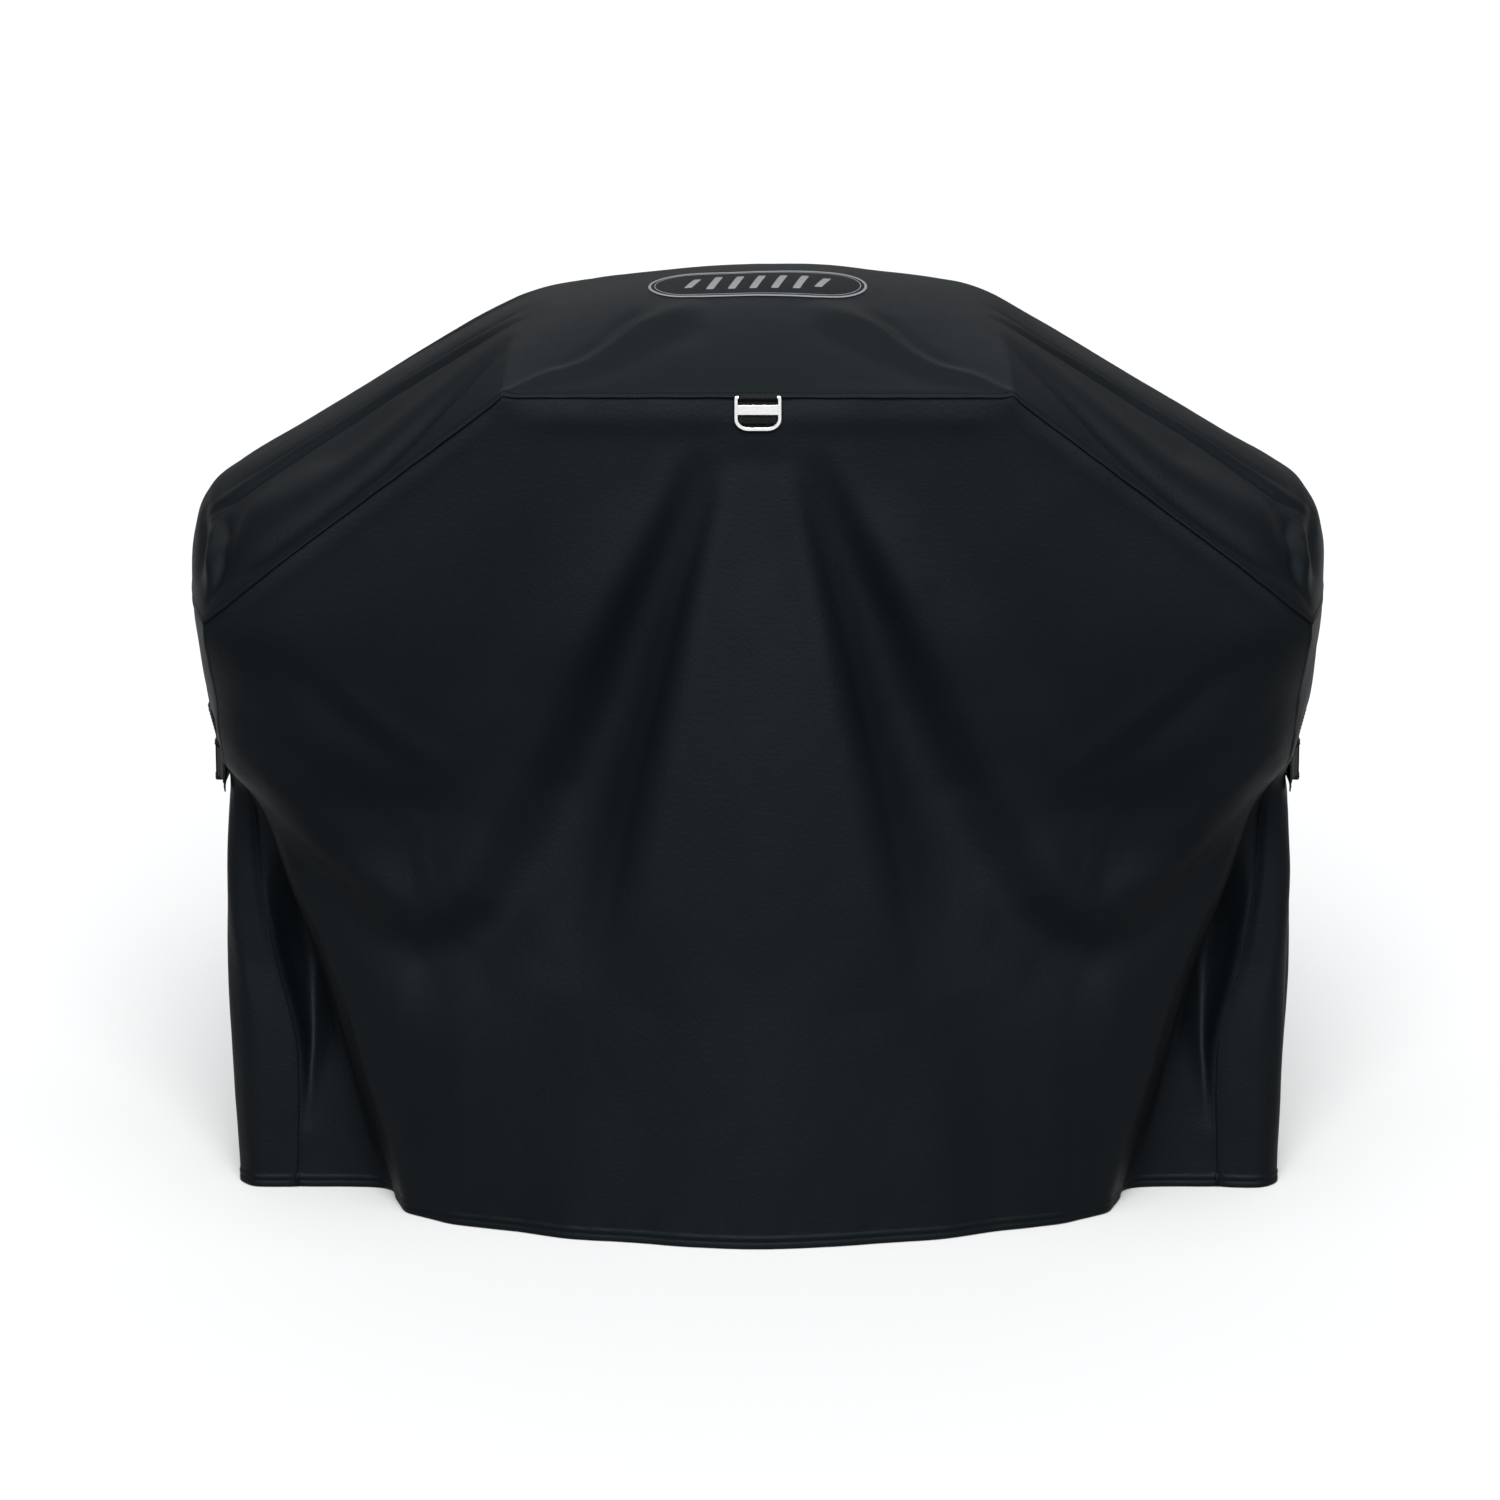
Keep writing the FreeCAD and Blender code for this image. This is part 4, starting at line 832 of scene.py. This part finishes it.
def outline(inset, n=320):
    """a stadium inset from the patch's edge, evenly spaced"""
    r, straight = HALF_H - inset, HALF_L - HALF_H
    total = 4 * straight + 2 * math.pi * r
    pts = []
    for s in np.arange(n) * total / n:
        if s < 2 * straight:
            pts.append((-straight + s, r, 0, 1))
        elif s < 2 * straight + math.pi * r:
            t = (s - 2 * straight) / r
            pts.append((straight + r * math.sin(t), r * math.cos(t), math.sin(t), math.cos(t)))
        elif s < 4 * straight + math.pi * r:
            pts.append((straight - (s - 2 * straight - math.pi * r), -r, 0, -1))
        else:
            t = (s - 4 * straight - math.pi * r) / r
            pts.append((-straight - r * math.sin(t), -r * math.cos(t), -math.sin(t), -math.cos(t)))
    return np.array(pts), total


def border(name, inset, wide, high, mat):
    """a satin-stitched band round the patch"""
    pts, total = outline(inset + wide / 2)
    n, m = len(pts), 9
    P = np.zeros((n + 1, m, 3))
    UV = np.zeros((n + 1, m, 2))
    for c in range(m):
        f = -1 + 2 * c / (m - 1)
        x, y = pts[:, 0] + pts[:, 2] * f * wide / 2, pts[:, 1] + pts[:, 3] * f * wide / 2
        ring = crown(x, y, 1.15 + high * math.sqrt(max(1 - f * f, 0)))
        P[:n, c], P[n, c] = ring, ring[0]
        UV[:, c, 0] = np.arange(n + 1) * total / n
        UV[:, c, 1] = f * wide / 2
    n_ = np.cross(P[n // 2 + 1, m // 2] - P[n // 2 - 1, m // 2], P[n // 2, m // 2 + 1] - P[n // 2, m // 2 - 1])
    return grid_object(name, P, UV, mat, tuple(n_ if n_[2] > 0 else -n_), "cover", 0)


rim = border("patch_border", 0.5, 3.0, 0.75, silver_thread)
rim2 = border("patch_inner_line", 6.6, 1.1, 0.4, silver_thread)


def bar(name, x0, x1, y0, y1, skew, mat):
    """one plain raised bar of satin stitches"""
    f, g = np.meshgrid(np.linspace(0, 1, 21), np.linspace(-1, 1, 9), indexing="ij")
    y = y0 + (y1 - y0) * f
    x = (x0 + x1) / 2 + (x1 - x0) / 2 * g + skew * (f - 0.5)
    high = 0.75 * np.sqrt(np.maximum(1 - g ** 2, 0)) * np.minimum(1, 6 * np.minimum(f, 1 - f) + 0.2)
    P = crown(x, y, 1.2 + high).reshape(21, 9, 3)
    return grid_object(name, P, np.stack([y, x], -1), mat, (0, 0, 1), "cover", 0)


bars = []
for i, c in enumerate((-66, -44, -22, 0, 22, 44, 66)):
    tall = 20.0 if abs(c) < 50 else 14.0
    bars.append(bar("patch_bar_%d" % i, c - 4.2, c + 4.2, -tall, tall, 10.0, silver_thread))

# ---------------------------------------------------------------- webbing
BASE, LEVEL, WT = 555.2, 443.0, 1.6


def side_face(y, z0, z1):
    """how far out the side panel lies at y, between two levels"""
    q, z = np.meshgrid(np.linspace(-1, 0, 201), np.linspace(z0, z1, 7), indexing="ij")
    x, yy = gusset_point(q, z)
    return max(float(np.interp(-abs(y), yy[:, k], x[:, k])) for k in range(7))


FACE_Y = [0, 30, 45, 60, 75, 90, 100, 108]
FACE_X = [side_face(y, LEVEL - 16, LEVEL + 16) for y in FACE_Y]


def lie(y, extra=0.0):
    return float(smooth(FACE_Y, FACE_X, np.array([abs(y)]))[0]) + 0.45 + WT / 2 + extra - BASE


def wrap(cx, cy, r, a):
    c, d = math.cos(a), math.sin(a)
    return (cx + (r - 0.1) * math.copysign(abs(c) ** 0.62, c), cy + r * math.copysign(abs(d) ** 0.62, d))


def fixed_path():
    path = [(-106, lie(106)), (-98, lie(98)), (-88, lie(88)), (-76, lie(76)), (-66, lie(66)),
            (-56, lie(56)), (-48, max(lie(48), 0.0)), (-41, 1.1), (-35, 1.95), (-30, 2.05)]
    path += [wrap(-29.4, 5.25, 3.2, math.radians(-90.0 + 15.0 * k)) for k in range(1, 12)]
    path += [(-30.8, 8.4), (-34.5, 7.5), (-39.5, 5.2), (-45, 3.1), (-51, 1.6),
             (-58, lie(58) + WT + 0.6), (-66, lie(66) + WT + 0.5)]
    return path


def adjust_path():
    path = [(106, lie(106)), (98, lie(98)), (88, lie(88)), (76, lie(76)), (66, lie(66)), (56, lie(56)),
            (48, lie(48)), (40, lie(40) + 0.4), (33, 1.5), (27, 2.0), (21, 2.05), (17, 2.05)]
    path += [wrap(16.4, 5.25, 3.2, math.radians(-90.0 - 15.0 * k)) for k in range(1, 12)]
    return path + [(17.6, 8.45)]


def tail_path():
    return [(19.4, 8.5), (23, 8.55), (28, 8.5), (34, 7.5), (41, 5.8), (49, lie(49) + 3.4),
            (57, lie(57) + WT + 1.2), (66, lie(66) + WT + 0.9), (76, lie(76) + WT + 0.9),
            (86, lie(86) + WT + 1.0), (93, lie(93) + WT + 1.3)]


def resample(path, step):
    p = np.array(path, float)
    s = np.r_[0, np.cumsum(np.hypot(*np.diff(p, axis=0).T))]
    t = np.linspace(0, s[-1], max(int(s[-1] / step), 4))
    q = np.c_[smooth(s, p[:, 0], t), smooth(s, p[:, 1], t)]
    return q, t


def ribbon(name, path, place, wide, thick, mat, body, nodes_, step=1.5, wave=0.0):
    """a band of webbing with rounded edges; place((a, b), across) gives mm points"""
    q, t = resample(path, step)
    tang = unit(np.gradient(q, axis=0))
    nor = np.c_[-tang[:, 1], tang[:, 0]]
    r = thick / 2
    sec = [(-wide / 2 + r + (wide - 2 * r) * k / 12, r) for k in range(13)]
    sec += [(wide / 2 - r + r * math.sin(x), r * math.cos(x)) for x in (math.pi / 4, math.pi / 2, 3 * math.pi / 4)]
    sec += [(wide / 2 - r - (wide - 2 * r) * k / 12, -r) for k in range(13)]
    sec += [(-wide / 2 + r - r * math.sin(x), -r * math.cos(x)) for x in (math.pi / 4, math.pi / 2, 3 * math.pi / 4)]
    V, UV = [], []
    around = np.r_[0, np.cumsum([math.hypot(sec[(i + 1) % len(sec)][0] - sec[i][0], sec[(i + 1) % len(sec)][1] - sec[i][1]) for i in range(len(sec))])]
    m = len(sec)
    for i in range(len(q)):
        f = min(1.0, i / 2.0 + 0.45, (len(q) - 1 - i) / 2.0 + 0.45)
        for c, h in sec:
            hh = h * f + wave * math.sin(t[i] / 9.0) * math.sin(c / 9.0)
            V.append(place(q[i] + nor[i] * hh, c))
    F, U = [], []
    for i in range(len(q) - 1):
        for k in range(m):
            k2 = (k + 1) % m
            F.append((i * m + k, i * m + k2, (i + 1) * m + k2, (i + 1) * m + k))
            c0, c1 = around[k], around[k + 1]
            U += [(t[i], c0), (t[i], c1), (t[i + 1], c1), (t[i + 1], c0)]
    F.append(tuple(range(m))[::-1])
    F.append(tuple((len(q) - 1) * m + k for k in range(m)))
    U += [(0, 0)] * (2 * m)
    V = np.array(V)
    # faces turned outward
    a, b, c = V[F[5][0]], V[F[5][1]], V[F[5][2]]
    centre = V[:m].mean(0)
    if np.cross(b - a, c - a) @ ((a + c) / 2 - centre) < 0:
        F2, U2, k = [], [], 0
        for f in F:
            F2.append(f[::-1])
            U2 += U[k:k + len(f)][::-1]
            k += len(f)
        F, U = F2, U2
    o = make_mesh(name, V, F, np.array(U) * MM, [mat], body)
    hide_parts(*nodes_)
    return o


def side_place(s):
    return lambda p, c: (s * (BASE + p[1]), p[0], LEVEL + c)


HANDLE_Z, TILT = 489.0, math.radians(14.0)


def handle_path():
    path = []
    for k in range(-10, 11):
        y = 84.0 * k / 10.0
        rm = min(1.0, max(0.0, (1.0 - abs(k) / 10.0) / 0.45))
        out = 0.0
        for i in range(9):
            z = HANDLE_Z - 19 + 38 * i / 8.0
            out = max(out, side_face(y, z, z) - (z - HANDLE_Z) * math.tan(TILT))
        path.append((y, out + 0.9 + 1.1 + 5.4 * (rm * rm * (3 - 2 * rm))))
    return path


HP = handle_path()
H0 = HP[10][1]


def handle_place(s):
    ca, sa = math.cos(TILT), math.sin(TILT)

    def f(p, c):
        o = p[1] - H0
        return (s * (H0 + o * ca + c * sa), p[0], HANDLE_Z - o * sa + c * ca)
    return f


def flat_line(path, place, pts, push):
    """a line of stitches laid on a band: pts are (run, across)"""
    q, t = resample(path, 1.5)
    tang = unit(np.gradient(q, axis=0))
    nor = np.c_[-tang[:, 1], tang[:, 0]]
    if push < 0:
        nor = -nor
    P, N = [], []
    for (r, c) in pts:
        b = np.array([np.interp(r, t, q[:, k]) for k in range(2)])
        n = np.array([np.interp(r, t, nor[:, k]) for k in range(2)])
        p0, p1 = np.array(place(b + n * abs(push), c)), np.array(place(b + n * (abs(push) + 1), c))
        P.append(p0)
        N.append(p1 - p0)
    return np.array(P), np.array(N)


def box_lines(path, place, r0, r1, half, push):
    """a sewn box with a cross in it"""
    def seg(a, b):
        return [(a[0] + (b[0] - a[0]) * k / 8.0, a[1] + (b[1] - a[1]) * k / 8.0) for k in range(9)]
    c = [(r0, -half), (r1, -half), (r1, half), (r0, half)]
    lines = [seg(c[i], c[(i + 1) % 4]) for i in range(4)] + [seg(c[0], c[2]), seg(c[1], c[3])]
    return [flat_line(path, place, l, push) for l in lines]


for side, s in (("left", -1), ("right", 1)):
    pl, hp = side_place(s), handle_place(s)
    fp, ap, tp = fixed_path(), adjust_path(), tail_path()
    ribbon(side + "_fixed_webbing", fp, pl, 32.0, WT, webbing, "cover", [side + "_fixed_strap"], 1.0)
    ribbon(side + "_adjust_webbing", ap, pl, 32.0, WT, webbing, "cover", [side + "_adjust_strap"], 1.0)
    ribbon(side + "_tail_webbing", tp, pl, 32.0, WT, webbing, side + "_tail_body", [side + "_strap_tail"], 1.0)
    ribbon(side + "_handle_webbing", HP, hp, 38.0, 2.2, handle_web, side + "_handle_body", [side + "_handle"], 1.5)
    # which side of the path faces out
    lines = box_lines(fp, pl, 3.0, 27.0, 12.5, 0.85)
    lines += box_lines(ap, pl, 3.0, 27.0, 12.5, -0.85)
    stitches(side + "_strap_stitches", lines, black_thread, "cover", 2.6, 3.6, 0.4, 0.1)
    hl = box_lines(HP, hp, 3.0, 27.0, 15.5, 1.15)
    total = resample(HP, 1.5)[1][-1]
    hl += box_lines(HP, hp, total - 27.0, total - 3.0, 15.5, 1.15)
    stitches(side + "_handle_stitches", hl, black_thread, side + "_handle_body", 2.6, 3.6, 0.4, 0.1)

# ring tab: one band folded round the ring's bar
ry, rz = -268.5, 865.0
tab = [(-264.5, 838.2), (-264.5, 846), (-264.5, 856), (-264.6, 863.5)]
for k in range(1, 13):
    an = math.radians(15.0 * k)
    rr_ = 3.9 + (2.45 - 3.9) * min(1, k / 6.0)
    tab.append((ry + rr_ * math.cos(an), rz + 2.45 * math.sin(an)))
for k in range(1, 7):
    an = math.radians(180 + 15.0 * k)
    tab.append((ry + 2.45 * math.cos(an), rz + 2.45 * math.sin(an)))
tab += [(-266.6, 861.2), (-266.0, 858.5), (-265.95, 852), (-265.95, 845), (-265.95, 838.2)]
tab_place = lambda p, c: (c, p[0], p[1])
ribbon("ring_tab_webbing", tab, tab_place, 38.0, 1.35, webbing, "cover", ["ring_tab"], 0.8)
tab_total = resample(tab, 0.8)[1][-1]
tl = [flat_line(tab, tab_place, [(tab_total - r, c) for c in np.linspace(-16, 16, 12)], -0.72) for r in (3.0, 7.0)]
stitches("tab_stitches", tl, black_thread, "cover", 2.4, 3.2, 0.36, 0.1)

# hard pieces keep their CAD shape
for n, o in nodes.items():
    mat = nickel if n == "front_ring" else plastic if "buckle" in n else None
    if mat is None:
        continue
    o.data.materials.clear()
    o.data.materials.append(mat)
    for p in o.data.polygons:
        p.material_index = 0

# -------------------------------------------------------- floor, light, view
floor_me = bpy.data.meshes.new("floor")
floor_me.from_pydata([(-60, -60, 0), (60, -60, 0), (60, 60, 0), (-60, 60, 0)], [], [(0, 1, 2, 3)])
floor = bpy.data.objects.new("floor", floor_me)
bpy.context.scene.collection.objects.link(floor)
fm, FN, FL, fb = material("floor_pale", (0.285, 0.285, 0.285), 1.0, Specular_IOR_Level=0.0)
floor_me.materials.append(fm)
floor.location.z = -0.0006


def lamp(name, loc, target, size, power, colour=(1, 1, 1), size_y=None):
    d = bpy.data.lights.new(name, "AREA")
    d.energy, d.color = power, colour
    d.shape = "RECTANGLE"
    d.size, d.size_y = size, size_y or size
    o = bpy.data.objects.new(name, d)
    o.location = loc
    o.rotation_euler = (Vector(target) - Vector(loc)).to_track_quat("-Z", "Y").to_euler()
    bpy.context.scene.collection.objects.link(o)
    return o


def sun(name, direction, angle, strength, colour=(1, 1, 1)):
    """a large soft source far away; direction points from it to the object"""
    d = bpy.data.lights.new(name, "SUN")
    d.energy, d.color, d.angle = strength, colour, math.radians(angle)
    o = bpy.data.objects.new(name, d)
    o.location = (0, 0, 3)
    o.rotation_euler = Vector(direction).to_track_quat("-Z", "Y").to_euler()
    bpy.context.scene.collection.objects.link(o)
    return o


def from_front(el, az=0.0):
    e, a = math.radians(el), math.radians(az)
    return (-math.sin(a) * math.cos(e), math.cos(a) * math.cos(e), -math.sin(e))


sun("key", from_front(35), 38, 10.5)
sun("top", from_front(68), 60, 4.2, (0.97, 0.985, 1.0))
sun("rear", from_front(50, 180), 60, 1.2, (0.97, 0.985, 1.0))

world = bpy.data.worlds.new("studio")
bpy.context.scene.world = world
world.use_nodes = True
bg = world.node_tree.nodes["Background"]
bg.inputs["Color"].default_value = (0.95, 0.97, 1.0, 1)
bg.inputs["Strength"].default_value = 0.25
bpy.context.scene.view_settings.view_transform = "Standard"

cam_data = bpy.data.cameras.new("camera")
cam_data.sensor_width = 36.0
cam_data.lens = 127.9
cam_data.clip_end = 300
cam = bpy.data.objects.new("camera", cam_data)
cam.location = (-0.0078, -5.4565, 1.7067)
aim = Vector((-0.0078, 0.0, 0.447))
cam.rotation_euler = (aim - cam.location).to_track_quat("-Z", "Y").to_euler()
bpy.context.scene.collection.objects.link(cam)
bpy.context.scene.camera = cam
